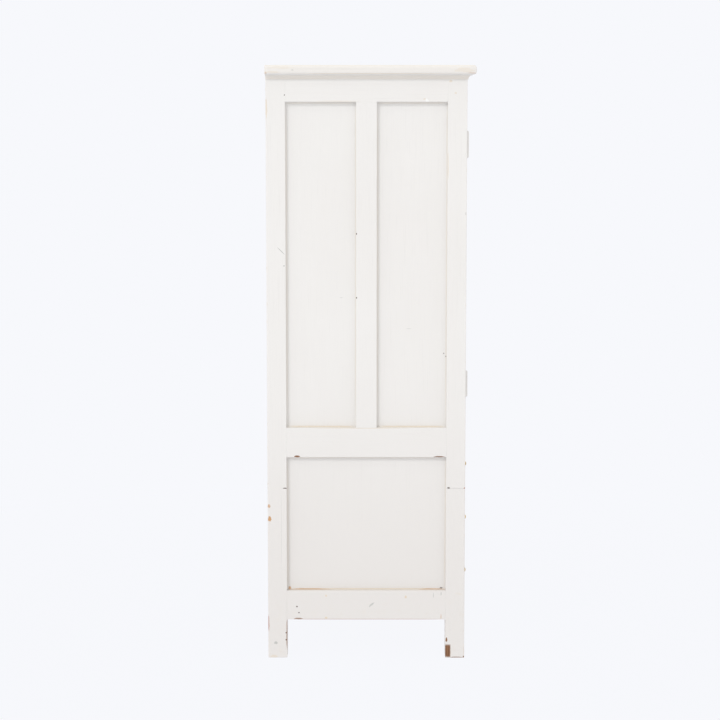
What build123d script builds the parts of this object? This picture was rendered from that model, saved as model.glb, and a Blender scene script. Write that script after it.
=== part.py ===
"""Apothecary cabinet: panelled sides, two glazed doors over nine small drawers, on four square legs.

Frame: +Z up, the front faces -Y, and the origin is under the middle of the whole object, on the floor.
Units are millimetres. "left" is -X and "right" is +X.
"""

import os

from build123d import *

# ---------------------------------------------------------------- driving dimensions
WIDTH = 1000.0  # over the posts
DEPTH = 600.0  # over the posts
HEIGHT = 1800.0
POST = 58.0  # square section of the four corner posts
CAP_THICKNESS = 28.0
CAP_OVERHANG = 26.0  # front and sides
CAP_BACK_OVERHANG = 2.0
CAP_TOP_ROUND = 9.0
CAP_UNDER_ROUND = 8.0
COVE = 14.0  # height and reach of the cornice moulding
COVE_LIP = 2.0  # its square edges

# Side frames
SIDE_FRAME_THICKNESS = 34.0
PANEL_RECESS = 15.0
PANEL_THICKNESS = 12.0
GROOVE = 8.0  # how far a panel enters its groove
MUNTIN = 62.0
BOTTOM_RAIL = (120.0, 210.0)  # lower and upper edge
WAIST_RAIL = (623.0, 713.0)
TOP_RAIL_LOW = 1692.0
TENON_LENGTH = 30.0
TENON_THICKNESS = 12.0
TENON_SHOULDER = 10.0
SPLICE_HEIGHT = 526.0  # both left legs are repaired below this seam
SPLICE_LAP = 120.0
PATCH = (8.0, 18.0, 250.0)  # depth, width and length of the strip let into the left back post

# Front frame
FRONT_RAIL_THICKNESS = 25.0
FRONT_WAIST_LOW = 668.0
FRONT_BOTTOM_HIGH = 180.0
DOOR_STOP_THICKNESS = 16.0
DOOR_STOP_HEIGHT = 34.0
DOOR_STOP_REACH = 14.0  # how far it covers the top of the doors from behind

# Back
BACK_BOARD_THICKNESS = 12.0
BACK_BOARD_COUNT = 8
BACK_REBATE = 12.0
BACK_RAIL_THICKNESS = 24.0
TONGUE = 5.0

# Boards and shelves inside
BOARD = 18.0
SHELF_TOPS = (958.0, 1203.0, 1448.0)
SHELF_FRONT_GAP = 48.0  # from the cabinet's front plane to a shelf's edge
BEARER = 20.0
FIT_GAP = 1.0

# Doors
DOOR_THICKNESS = 24.0
DOOR_GAP = 2.0
DOOR_STILE = 48.0
DOOR_TOP_RAIL = 60.0
DOOR_BOTTOM_RAIL = 90.0
GLAZING_BAR = 22.0
GLASS = 3.0
GLASS_REBATE = 8.0
GLASS_LIP = 10.0  # wood in front of the glass
BEAD = 7.0  # width of the loose beads that hold the glass from behind
PANES = 3
DOOR_TENON = 30.0
DOOR_TENON_THICKNESS = 6.0

# Turn latch on the right door
LATCH_HEIGHT = 1105.0
SPINDLE_RADIUS = 4.0
SPINDLE_CLEARANCE = 0.06
TONGUE_SIZE = (44.0, 14.0, 3.0)  # length, width, thickness
TONGUE_GAP = 0.8
TURN_KNOB = 14.0  # radius
TURN_KNOB_REACH = 24.0
TURN_GAP = 0.3

# Barrel bolt on the left door
BOLT_RADIUS = 4.0
BOLT_CLEARANCE = 0.06
BOLT_LENGTH = 112.0
BOLT_TRAVEL = 15.0
BOLT_OFFSET = 9.0  # from the back of the door to the bolt's axis
BOLT_PLATE = (20.0, 1.6, 104.0)
BOLT_THUMB_RADIUS = 5.0
STAPLE_HEIGHT = 12.0
STAPLE_RADIUS = 6.5

# Hinges
HINGE_HEIGHTS = (840.0, 1565.0)
HINGE_LENGTH = 75.0
HINGE_LEAF = 2.0
HINGE_LEAF_WIDTH = 20.0
HINGE_FORWARD = 4.2  # pin axis in front of the cabinet's front plane
KNUCKLE_RADIUS = 3.8
KNUCKLES = 5
KNUCKLE_GAP = 0.3
PIN_RADIUS = 2.0
PIN_CLEARANCE = 0.06
PIN_TIP = 3.0  # radius of the ball at each end of a pin

# Drawers
ROWS = 3
COLUMNS = 3
DRAWER_RAIL = 20.0
PARTITION = 20.0
DRAWER_RAIL_DEPTH = 40.0
DRAWER_RAIL_HOUSING = 10.0  # how far a drawer rail enters the posts
DRAWER_GAP = 1.5
DRAWER_RUN_GAP = 0.5  # under the sides, above the runners
DRAWER_FRONT = 20.0
DRAWER_SIDE = 12.0
DRAWER_LENGTH = 540.0
DRAWER_SIDE_HEIGHT = 122.0
DRAWER_BACK_DROP = 12.0  # the back is this much lower than the sides
DRAWER_BOTTOM = 6.0
DRAWER_BOTTOM_RAISE = 8.0
DRAWER_GROOVE = 5.0
RUNNER_WIDTH = 22.0
TAILS = 3
TAIL_LENGTH = 14.0
TAIL_ROOT = 20.0
TAIL_TIP = 27.0

# Drawer fittings
KNOB_RADIUS = 8.0
KNOB_REACH = 13.0
KNOB_STUD = 2.5
KNOB_DROP = 24.0  # below the middle of a drawer front
NUT = (6.0, 4.0)  # radius, thickness
CARD_FRAME = (66.0, 36.0)
CARD_FRAME_DEPTH = 2.4
CARD_FRAME_RISE = 22.0  # above the middle of a drawer front
CARD_BORDER = 5.0
CARD_SLOT = 0.8
CARD_EAR = 6.0  # radius of the ear at each end
EAR_THICKNESS = 1.2
PIN_SHANK = 0.9
PIN_HEAD = 2.0
PIN_DEPTH = 10.0

# ---------------------------------------------------------------- derived places
FRONT_Y = CAP_OVERHANG - (DEPTH + CAP_OVERHANG + CAP_BACK_OVERHANG) / 2
BACK_Y = FRONT_Y + DEPTH
CARCASS_TOP = HEIGHT - CAP_THICKNESS
HALF = WIDTH / 2
INNER = HALF - POST  # inner face of the posts
SIDE_INNER = HALF - SIDE_FRAME_THICKNESS  # inner face of the side rails
POST_FRONT_INNER = FRONT_Y + POST
POST_BACK_INNER = BACK_Y - POST
BACK_BOARD_FACE = BACK_Y - BACK_BOARD_THICKNESS
BACK_RAIL_FACE = BACK_BOARD_FACE - BACK_RAIL_THICKNESS
SIDE_RAILS = {
    "bottom_rail": BOTTOM_RAIL,
    "waist_rail": WAIST_RAIL,
    "top_rail": (TOP_RAIL_LOW, CARCASS_TOP),
}
FRONT_RAILS = {
    "front_bottom_rail": (BOTTOM_RAIL[0], FRONT_BOTTOM_HIGH),
    "front_waist_rail": (FRONT_WAIST_LOW, WAIST_RAIL[1]),
    "front_top_rail": (TOP_RAIL_LOW, CARCASS_TOP),
}
WAIST_TOP = WAIST_RAIL[1]
FRONT_RAIL_BACK = FRONT_Y + FRONT_RAIL_THICKNESS
DOOR_STOP_BACK = FRONT_RAIL_BACK + DOOR_STOP_THICKNESS
BAY_WIDTH = (2 * INNER - (COLUMNS - 1) * PARTITION) / COLUMNS
BAY_HEIGHT = (FRONT_WAIST_LOW - FRONT_BOTTOM_HIGH - (ROWS - 1) * DRAWER_RAIL) / ROWS
DOOR_LOW = WAIST_TOP + DOOR_GAP
DOOR_HIGH = TOP_RAIL_LOW - DOOR_GAP
DOOR_BACK = FRONT_Y + DOOR_THICKNESS
MEETING_X = DOOR_GAP / 2 + DOOR_STILE / 2  # middle of a door's meeting stile, either side of x = 0
BOLT_Y = DOOR_BACK + BOLT_OFFSET
BOLT_TOP = TOP_RAIL_LOW - DOOR_STOP_REACH - 2
SIDES = {"left": -1, "right": 1}

os.makedirs("parts", exist_ok=True)


def block(low, high, mode=Mode.ADD):
    """Adds or cuts the box between two corners, given in any order, in the part being built."""
    corner = tuple(min(a, b) for a, b in zip(low, high))
    size = [abs(b - a) for a, b in zip(low, high)]
    with Locations(corner):
        Box(*size, align=(Align.MIN, Align.MIN, Align.MIN), mode=mode)


def rod(centre, radius, length, direction, mode=Mode.ADD):
    """Adds or cuts a cylinder that starts at centre and runs along direction."""
    with Locations(Plane(origin=centre, z_dir=direction).location):
        Cylinder(radius, length, align=(Align.CENTER, Align.CENTER, Align.MIN), mode=mode)


def save(piece, name):
    """Labels a finished part and writes its STEP file."""
    piece.part.label = name
    export_step(piece.part, f"parts/{name}.step")


def save_group(pieces, name):
    """Writes a list of separate solids, which may touch, as one node."""
    group = Compound(children=[piece.part for piece in pieces])
    group.label = name
    export_step(group, f"parts/{name}.step")


def bay(row, column):
    """Low corner (x, z) of a drawer's opening: row 0 is the top one, column 0 the leftmost."""
    x = -INNER + column * (BAY_WIDTH + PARTITION)
    z = FRONT_WAIST_LOW - BAY_HEIGHT - row * (BAY_HEIGHT + DRAWER_RAIL)
    return x, z


# ---------------------------------------------------------------- joinery shared by neighbours
def side_tenons(sign, rail, mode):
    """The tenons at both ends of a side rail, or their mortises."""
    low, high = rail
    x0 = sign * (HALF - PANEL_RECESS)
    x1 = sign * (HALF - PANEL_RECESS - TENON_THICKNESS)
    z0, z1 = low + TENON_SHOULDER, high - TENON_SHOULDER
    block((x0, POST_FRONT_INNER - TENON_LENGTH, z0), (x1, POST_FRONT_INNER, z1), mode)
    block((x0, POST_BACK_INNER, z0), (x1, POST_BACK_INNER + TENON_LENGTH, z1), mode)


def cross_tenons(y_mid, rail, mode):
    """The tenons at both ends of a rail that runs across the cabinet, or their mortises."""
    z0, z1 = rail[0] + TENON_SHOULDER, rail[1] - TENON_SHOULDER
    y0, y1 = y_mid - TENON_THICKNESS / 2, y_mid + TENON_THICKNESS / 2
    for sign in SIDES.values():
        block((sign * INNER, y0, z0), (sign * (INNER + TENON_LENGTH), y1, z1), mode)


def panel_grooves(sign, y_edge, into):
    """Grooves for the side panels in a post: y_edge is the post's inner face, into its direction."""
    x0 = sign * (HALF - PANEL_RECESS)
    x1 = sign * (HALF - PANEL_RECESS - PANEL_THICKNESS)
    for z0, z1 in ((BOTTOM_RAIL[1], WAIST_RAIL[0]), (WAIST_RAIL[1], TOP_RAIL_LOW)):
        low = (x0, y_edge, z0 - GROOVE)
        block(low, (x1, y_edge + into * GROOVE, z1 + GROOVE), Mode.SUBTRACT)


def leaf_faces(sign, on_post):
    """The x of a hinge leaf's two faces: in the post's inner face, or in the door's edge."""
    if on_post:
        return sign * INNER, sign * (INNER + HINGE_LEAF)
    edge = INNER - DOOR_GAP
    return sign * edge, sign * (edge - HINGE_LEAF)


def leaf_plate(sign, z_mid, on_post, mode):
    """The flat of a hinge leaf, or the recess that it sits in."""
    x0, x1 = leaf_faces(sign, on_post)
    half = HINGE_LENGTH / 2
    block((x0, FRONT_Y, z_mid - half), (x1, FRONT_Y + HINGE_LEAF_WIDTH, z_mid + half), mode)


def leaf_knuckles(sign, z_mid, on_post, bore):
    """The knuckles of one leaf: the post's leaf has the first, third and fifth of them."""
    x0, x1 = leaf_faces(sign, on_post)
    axis_x = sign * (INNER - DOOR_GAP / 2)
    pitch = HINGE_LENGTH / KNUCKLES
    for index in range(0 if on_post else 1, KNUCKLES, 2):
        z0 = z_mid - HINGE_LENGTH / 2 + index * pitch + KNUCKLE_GAP / 2
        length = pitch - KNUCKLE_GAP
        rod((axis_x, FRONT_Y - HINGE_FORWARD, z0), KNUCKLE_RADIUS, length, (0, 0, 1))
        block((x0, FRONT_Y - HINGE_FORWARD, z0), (x1, FRONT_Y, z0 + length))
    z0 = z_mid - HINGE_LENGTH / 2
    rod((axis_x, FRONT_Y - HINGE_FORWARD, z0), bore, HINGE_LENGTH, (0, 0, 1), Mode.SUBTRACT)


def leg_splice_shape(mode):
    """The outline of the repaired left front leg, with the lap that is halved onto the post."""
    block((-HALF, FRONT_Y, 0), (-INNER, POST_FRONT_INNER, SPLICE_HEIGHT), mode)
    low = (-HALF + POST / 2, FRONT_Y, SPLICE_HEIGHT)
    block(low, (-INNER, POST_FRONT_INNER, SPLICE_HEIGHT + SPLICE_LAP), mode)


def patch_shape(mode):
    """The strip let into the outer face of the left back post, under the same seam."""
    depth, width, length = PATCH
    low = (-HALF, POST_BACK_INNER, SPLICE_HEIGHT - length)
    block(low, (-HALF + depth, POST_BACK_INNER + width, SPLICE_HEIGHT), mode)


def drawer_rail(level, mode):
    """A rail between two rows of drawers, housed in the posts: level 1 is under the top row."""
    z0 = bay(level, 0)[1] + BAY_HEIGHT
    x1 = INNER + DRAWER_RAIL_HOUSING
    block((-x1, FRONT_Y, z0), (x1, FRONT_Y + DRAWER_RAIL_DEPTH, z0 + DRAWER_RAIL), mode)


def floor_outline(mode=Mode.ADD, front=FRONT_RAIL_BACK, back=BACK_RAIL_FACE, low=0.0, high=BOARD):
    """A board between the side frames, notched round the four posts."""
    gap = FIT_GAP / 2
    block((-INNER + gap, front, low), (INNER - gap, back, high), mode)
    y0, y1 = POST_FRONT_INNER + gap, POST_BACK_INNER - gap
    block((-SIDE_INNER + gap, y0, low), (SIDE_INNER - gap, y1, high), mode)


# ---------------------------------------------------------------- side frames
for side, sign in SIDES.items():
    with BuildPart() as front_post:
        block((sign * HALF, FRONT_Y, 0), (sign * INNER, POST_FRONT_INNER, CARCASS_TOP))
        panel_grooves(sign, POST_FRONT_INNER, -1)
        for rail in SIDE_RAILS.values():
            side_tenons(sign, rail, Mode.SUBTRACT)
        for rail in FRONT_RAILS.values():
            cross_tenons(FRONT_Y + FRONT_RAIL_THICKNESS / 2, rail, Mode.SUBTRACT)
        for height in HINGE_HEIGHTS:
            leaf_plate(sign, height, True, Mode.SUBTRACT)
        if side == "left":
            # The lower leg is a later repair, halved onto the sound upper part.
            leg_splice_shape(Mode.SUBTRACT)
        for level in range(1, ROWS):
            drawer_rail(level, Mode.SUBTRACT)
    save(front_post, f"{side}_front_post")

    with BuildPart() as back_post:
        block((sign * HALF, POST_BACK_INNER, 0), (sign * INNER, BACK_Y, CARCASS_TOP))
        panel_grooves(sign, POST_BACK_INNER, 1)
        for rail in SIDE_RAILS.values():
            side_tenons(sign, rail, Mode.SUBTRACT)
            cross_tenons(BACK_RAIL_FACE + BACK_RAIL_THICKNESS / 2, rail, Mode.SUBTRACT)
        rebate_low = (sign * INNER, BACK_BOARD_FACE, BOTTOM_RAIL[0])
        rebate_high = (sign * (INNER + BACK_REBATE), BACK_Y, CARCASS_TOP)
        block(rebate_low, rebate_high, Mode.SUBTRACT)
        if side == "left":
            patch_shape(Mode.SUBTRACT)
    pieces = [back_post]
    if side == "left":
        with BuildPart() as patch:
            patch_shape(Mode.ADD)
        pieces.append(patch)
    save_group(pieces, f"{side}_back_post")

    groove_x = sign * (HALF - PANEL_RECESS), sign * (HALF - PANEL_RECESS - PANEL_THICKNESS)
    muntin_y = (FRONT_Y + BACK_Y - MUNTIN) / 2, (FRONT_Y + BACK_Y + MUNTIN) / 2
    for name, rail in SIDE_RAILS.items():
        with BuildPart() as side_rail:
            corner = (sign * HALF, POST_FRONT_INNER, rail[0])
            block(corner, (sign * SIDE_INNER, POST_BACK_INNER, rail[1]))
            side_tenons(sign, rail, Mode.ADD)
            if name != "top_rail":
                low = (groove_x[0], POST_FRONT_INNER, rail[1] - GROOVE)
                block(low, (groove_x[1], POST_BACK_INNER, rail[1]), Mode.SUBTRACT)
            if name != "bottom_rail":
                high = (groove_x[1], POST_BACK_INNER, rail[0] + GROOVE)
                block((groove_x[0], POST_FRONT_INNER, rail[0]), high, Mode.SUBTRACT)
        save(side_rail, f"{side}_{name}")

    with BuildPart() as muntin:
        corner = (sign * HALF, muntin_y[0], WAIST_RAIL[1])
        block(corner, (sign * SIDE_INNER, muntin_y[1], TOP_RAIL_LOW))
        for z0, z1 in ((WAIST_RAIL[1] - GROOVE, WAIST_RAIL[1]), (TOP_RAIL_LOW, TOP_RAIL_LOW + GROOVE)):
            block((groove_x[0], muntin_y[0], z0), (groove_x[1], muntin_y[1], z1))
        for y0, into in ((muntin_y[0], 1), (muntin_y[1], -1)):
            low = (groove_x[0], y0, WAIST_RAIL[1] - GROOVE)
            high = (groove_x[1], y0 + into * GROOVE, TOP_RAIL_LOW + GROOVE)
            block(low, high, Mode.SUBTRACT)
    save(muntin, f"{side}_muntin")

    panel_edges = {"front": (POST_FRONT_INNER, muntin_y[0]), "back": (muntin_y[1], POST_BACK_INNER)}
    for place, (y0, y1) in panel_edges.items():
        with BuildPart() as upper_panel:
            low = (groove_x[0], y0 - GROOVE, WAIST_RAIL[1] - GROOVE)
            block(low, (groove_x[1], y1 + GROOVE, TOP_RAIL_LOW + GROOVE))
        save(upper_panel, f"{side}_upper_{place}_panel")

    with BuildPart() as lower_panel:
        low = (groove_x[0], POST_FRONT_INNER - GROOVE, BOTTOM_RAIL[1] - GROOVE)
        block(low, (groove_x[1], POST_BACK_INNER + GROOVE, WAIST_RAIL[0] + GROOVE))
    save(lower_panel, f"{side}_lower_panel")

with BuildPart() as leg_splice:
    leg_splice_shape(Mode.ADD)
    panel_grooves(-1, POST_FRONT_INNER, -1)
    for rail in SIDE_RAILS.values():
        side_tenons(-1, rail, Mode.SUBTRACT)
    for rail in FRONT_RAILS.values():
        cross_tenons(FRONT_Y + FRONT_RAIL_THICKNESS / 2, rail, Mode.SUBTRACT)
    for level in range(1, ROWS):
        drawer_rail(level, Mode.SUBTRACT)
save(leg_splice, "left_front_leg_splice")

# ---------------------------------------------------------------- front and back frames
front_rails = []
for rail in FRONT_RAILS.values():
    with BuildPart() as front_rail:
        block((-INNER, FRONT_Y, rail[0]), (INNER, FRONT_RAIL_BACK, rail[1]))
        cross_tenons(FRONT_Y + FRONT_RAIL_THICKNESS / 2, rail, Mode.ADD)
    front_rails.append(front_rail)
save_group(front_rails, "front_rails")

with BuildPart() as back_rails:
    for rail in SIDE_RAILS.values():
        block((-INNER, BACK_RAIL_FACE, rail[0]), (INNER, BACK_BOARD_FACE, rail[1]))
        cross_tenons(BACK_RAIL_FACE + BACK_RAIL_THICKNESS / 2, rail, Mode.ADD)
save(back_rails, "back_rails")

back_width = 2 * (INNER + BACK_REBATE)
board_width = back_width / BACK_BOARD_COUNT
tongue_y = BACK_BOARD_FACE + BACK_BOARD_THICKNESS / 3, BACK_BOARD_FACE + BACK_BOARD_THICKNESS * 2 / 3
back_boards = []
for index in range(BACK_BOARD_COUNT):
    x0 = -back_width / 2 + index * board_width
    with BuildPart() as back_board:
        block((x0, BACK_BOARD_FACE, BOTTOM_RAIL[0]), (x0 + board_width, BACK_Y, CARCASS_TOP))
        if index > 0:
            high = (x0 + TONGUE, tongue_y[1], CARCASS_TOP)
            block((x0, tongue_y[0], BOTTOM_RAIL[0]), high, Mode.SUBTRACT)
        if index < BACK_BOARD_COUNT - 1:
            low = (x0 + board_width, tongue_y[0], BOTTOM_RAIL[0])
            block(low, (x0 + board_width + TONGUE, tongue_y[1], CARCASS_TOP))
    back_boards.append(back_board)
save_group(back_boards, "back_boards")

stop_low = TOP_RAIL_LOW - DOOR_STOP_REACH
with BuildPart() as door_stops:
    block((-INNER, FRONT_RAIL_BACK, stop_low), (INNER, DOOR_STOP_BACK, stop_low + DOOR_STOP_HEIGHT))
    hole_radius = BOLT_RADIUS + 0.5
    rod((-MEETING_X, BOLT_Y, stop_low), hole_radius, BOLT_TRAVEL + 3, (0, 0, 1), Mode.SUBTRACT)
    block((-INNER, FRONT_RAIL_BACK, WAIST_TOP), (INNER, DOOR_STOP_BACK, WAIST_TOP + DOOR_STOP_REACH))
save(door_stops, "door_stops")

# ---------------------------------------------------------------- top board and cornice
CAP_X = HALF + CAP_OVERHANG
CAP_FRONT = FRONT_Y - CAP_OVERHANG
with BuildPart() as top_board:
    block((-CAP_X, CAP_FRONT, CARCASS_TOP), (CAP_X, BACK_Y + CAP_BACK_OVERHANG, HEIGHT))
    for group, radius in ((-1, CAP_TOP_ROUND), (0, CAP_UNDER_ROUND)):
        level_edges = top_board.edges().filter_by(Axis.Z, reverse=True).group_by(Axis.Z)[group]
        fillet(level_edges.sort_by(Axis.Y)[:3], radius)
save(top_board, "top_board")


def cove_profile(plane):
    """Quarter-round hollow under the top board: local x is outwards, local y is up."""
    with BuildSketch(plane, mode=Mode.PRIVATE) as profile:
        with BuildLine():
            hollow = COVE - COVE_LIP
            Polyline((0, 0), (COVE_LIP, 0))
            RadiusArc((COVE_LIP, 0), (COVE, hollow), -hollow)
            Polyline((COVE, hollow), (COVE, COVE), (0, COVE), (0, 0))
        make_face()
    return profile.sketch


cove_z = CARCASS_TOP - COVE
cove_pieces = []
with BuildPart() as front_cove:
    # The front length runs along +X, with mitred ends.
    start_x = -HALF - COVE
    end_plane = Plane(origin=(start_x, FRONT_Y, cove_z), x_dir=(0, -1, 0), z_dir=(-1, 0, 0))
    extrude(cove_profile(end_plane), amount=-2 * (HALF + COVE))
    for sign in SIDES.values():
        mitre = Plane(origin=(sign * HALF, FRONT_Y, cove_z), z_dir=(-sign, -1, 0))
        split(bisect_by=mitre, keep=Keep.TOP)
cove_pieces.append(front_cove)
for sign in SIDES.values():
    with BuildPart() as side_cove:
        start_y = FRONT_Y - COVE
        corner = (sign * HALF, start_y, cove_z)
        end_plane = Plane(origin=corner, x_dir=(sign, 0, 0), z_dir=(0, -sign, 0))
        extrude(cove_profile(end_plane), amount=-sign * (BACK_Y - start_y))
        mitre = Plane(origin=(sign * HALF, FRONT_Y, cove_z), z_dir=(-sign, -1, 0))
        split(bisect_by=mitre, keep=Keep.BOTTOM)
    cove_pieces.append(side_cove)
save_group(cove_pieces, "cornice_moulding")

# ---------------------------------------------------------------- boards, shelves and bearers
with BuildPart() as bottom_board:
    low = FRONT_BOTTOM_HIGH - BOARD
    floor_outline(low=low, high=FRONT_BOTTOM_HIGH)
save(bottom_board, "bottom_board")

with BuildPart() as waist_board:
    floor_outline(low=WAIST_TOP - BOARD, high=WAIST_TOP)
save(waist_board, "waist_board")

shelf_front = FRONT_Y + SHELF_FRONT_GAP
with BuildPart() as shelves:
    for top in SHELF_TOPS:
        floor_outline(front=shelf_front, back=BACK_BOARD_FACE - FIT_GAP, low=top - BOARD, high=top)
save(shelves, "shelves")

with BuildPart() as shelf_bearers:
    for top in (FRONT_BOTTOM_HIGH, WAIST_TOP, *SHELF_TOPS):
        z1 = top - BOARD
        for sign in SIDES.values():
            low = (sign * SIDE_INNER, POST_FRONT_INNER, z1 - BEARER)
            block(low, (sign * (SIDE_INNER - BEARER), POST_BACK_INNER, z1))
save(shelf_bearers, "shelf_bearers")

# ---------------------------------------------------------------- drawer framing
drawer_frame = []
for level in range(1, ROWS):
    with BuildPart() as rail_between_rows:
        drawer_rail(level, Mode.ADD)
    drawer_frame.append(rail_between_rows)
with BuildPart() as dividers:
    for row in range(ROWS):
        for column in range(1, COLUMNS):
            x, z = bay(row, column)
            low = (x - PARTITION, FRONT_Y, z)
            block(low, (x, FRONT_Y + DRAWER_RAIL_DEPTH, z + BAY_HEIGHT))
save_group([*drawer_frame, dividers], "drawer_rails")

with BuildPart() as drawer_partitions:
    for column in range(1, COLUMNS):
        x = bay(0, column)[0]
        low = (x - PARTITION, FRONT_Y + DRAWER_RAIL_DEPTH, FRONT_BOTTOM_HIGH)
        block(low, (x, BACK_RAIL_FACE, WAIST_TOP - BOARD))
save(drawer_partitions, "drawer_partitions")

with BuildPart() as drawer_runners:
    runner_front = FRONT_Y + DRAWER_RAIL_DEPTH
    for level in range(1, ROWS):
        z0 = bay(level, 0)[1] + BAY_HEIGHT
        z1 = z0 + DRAWER_RAIL
        for column in range(COLUMNS):
            x = bay(level, column)[0]
            for edge, inward in ((x, 1), (x + BAY_WIDTH, -1)):
                low = (edge, runner_front, z0)
                block(low, (edge + inward * RUNNER_WIDTH, BACK_RAIL_FACE, z1))
        for sign in SIDES.values():
            # The outer runners are as wide as the side frame, between the posts.
            low = (sign * INNER, POST_FRONT_INNER, z0)
            block(low, (sign * (HALF - PANEL_RECESS - PANEL_THICKNESS), POST_BACK_INNER, z1))
save(drawer_runners, "drawer_runners")


# ---------------------------------------------------------------- doors
def pane_spans():
    """Lower and upper edge of each pane's opening, from the bottom."""
    low = DOOR_LOW + DOOR_BOTTOM_RAIL
    height = (DOOR_HIGH - DOOR_TOP_RAIL - low - (PANES - 1) * GLAZING_BAR) / PANES
    return [(low + i * (height + GLAZING_BAR), low + i * (height + GLAZING_BAR) + height) for i in range(PANES)]


def glass_rebates(x0, x1):
    """Cuts the rebates that the panes sit in, from behind, out of the part being built."""
    for z0, z1 in pane_spans():
        low = (x0 - GLASS_REBATE, FRONT_Y + GLASS_LIP, z0 - GLASS_REBATE)
        block(low, (x1 + GLASS_REBATE, DOOR_BACK, z1 + GLASS_REBATE), Mode.SUBTRACT)


for side, sign in SIDES.items():
    outer_x, inner_x = sign * (INNER - DOOR_GAP), sign * DOOR_GAP / 2
    opening = sorted((outer_x - sign * DOOR_STILE, inner_x + sign * DOOR_STILE))
    tenon_y = FRONT_Y + (GLASS_LIP - DOOR_TENON_THICKNESS) / 2
    tenon_y = tenon_y, tenon_y + DOOR_TENON_THICKNESS
    rails = {
        "bottom": (DOOR_LOW, DOOR_LOW + DOOR_BOTTOM_RAIL),
        "top": (DOOR_HIGH - DOOR_TOP_RAIL, DOOR_HIGH),
    }
    frame = []
    for edge, inward in ((outer_x, -sign), (inner_x, sign)):
        with BuildPart() as stile:
            block((edge, FRONT_Y, DOOR_LOW), (edge + inward * DOOR_STILE, DOOR_BACK, DOOR_HIGH))
            glass_rebates(*opening)
            for z0, z1 in rails.values():
                z0, z1 = z0 + TENON_SHOULDER, z1 - TENON_SHOULDER
                root = edge + inward * DOOR_STILE
                low = (root - inward * DOOR_TENON, tenon_y[0], z0)
                block(low, (root, tenon_y[1], z1), Mode.SUBTRACT)
            if edge == outer_x:
                for height in HINGE_HEIGHTS:
                    leaf_plate(sign, height, False, Mode.SUBTRACT)
            elif side == "right":
                bore = SPINDLE_RADIUS + SPINDLE_CLEARANCE
                centre = (MEETING_X, FRONT_Y, LATCH_HEIGHT)
                rod(centre, bore, DOOR_THICKNESS, (0, 1, 0), Mode.SUBTRACT)
        frame.append(stile)
    for z0, z1 in rails.values():
        with BuildPart() as door_rail:
            block((opening[0], FRONT_Y, z0), (opening[1], DOOR_BACK, z1))
            glass_rebates(*opening)
            low = (opening[0] - DOOR_TENON, tenon_y[0], z0 + TENON_SHOULDER)
            block(low, (opening[1] + DOOR_TENON, tenon_y[1], z1 - TENON_SHOULDER))
        frame.append(door_rail)
    for z0 in [span[1] for span in pane_spans()[:-1]]:
        with BuildPart() as glazing_bar:
            block((opening[0], FRONT_Y, z0), (opening[1], DOOR_BACK, z0 + GLAZING_BAR))
            glass_rebates(*opening)
        frame.append(glazing_bar)
    x0, x1 = opening[0] - GLASS_REBATE, opening[1] + GLASS_REBATE
    bead_y = FRONT_Y + GLASS_LIP + GLASS
    with BuildPart() as upright_beads:
        for z0, z1 in pane_spans():
            for edge, inward in ((x0, 1), (x1, -1)):
                low = (edge, bead_y, z0 - GLASS_REBATE)
                block(low, (edge + inward * BEAD, DOOR_BACK, z1 + GLASS_REBATE))
    with BuildPart() as level_beads:
        for z0, z1 in pane_spans():
            for edge, inward in ((z0 - GLASS_REBATE, 1), (z1 + GLASS_REBATE, -1)):
                low = (x0 + BEAD, bead_y, edge)
                block(low, (x1 - BEAD, DOOR_BACK, edge + inward * BEAD))
    frame += [upright_beads, level_beads]
    save_group(frame, f"{side}_door_frame")

    with BuildPart() as glass:
        for z0, z1 in pane_spans():
            slack = GLASS_REBATE - FIT_GAP
            low = (opening[0] - slack, FRONT_Y + GLASS_LIP, z0 - slack)
            block(low, (opening[1] + slack, FRONT_Y + GLASS_LIP + GLASS, z1 + slack))
    save(glass, f"{side}_door_glass")

    with BuildPart() as door_leaves:
        for height in HINGE_HEIGHTS:
            leaf_plate(sign, height, False, Mode.ADD)
            leaf_knuckles(sign, height, False, PIN_RADIUS + PIN_CLEARANCE)
    save(door_leaves, f"{side}_door_hinge_leaves")

# ---------------------------------------------------------------- hinges on the posts
post_hinges = []
for sign in SIDES.values():
    for height in HINGE_HEIGHTS:
        with BuildPart() as post_leaf:
            leaf_plate(sign, height, True, Mode.ADD)
            leaf_knuckles(sign, height, True, PIN_RADIUS)
        with BuildPart() as hinge_pin:
            axis_x, axis_y = sign * (INNER - DOOR_GAP / 2), FRONT_Y - HINGE_FORWARD
            half = (HINGE_LENGTH - KNUCKLE_GAP) / 2
            rod((axis_x, axis_y, height - half), PIN_RADIUS, 2 * half, (0, 0, 1))
            for end in (-1, 1):
                # A round tip stands on each end of the outer knuckles.
                with Locations((axis_x, axis_y, height + end * half)):
                    Sphere(PIN_TIP)
            with Locations((axis_x, axis_y, height)):
                Cylinder(KNUCKLE_RADIUS, 2 * half, mode=Mode.SUBTRACT)
            rod((axis_x, axis_y, height - half), PIN_RADIUS, 2 * half, (0, 0, 1))
        post_hinges += [post_leaf, hinge_pin]
save_group(post_hinges, "post_hinges")



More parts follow.
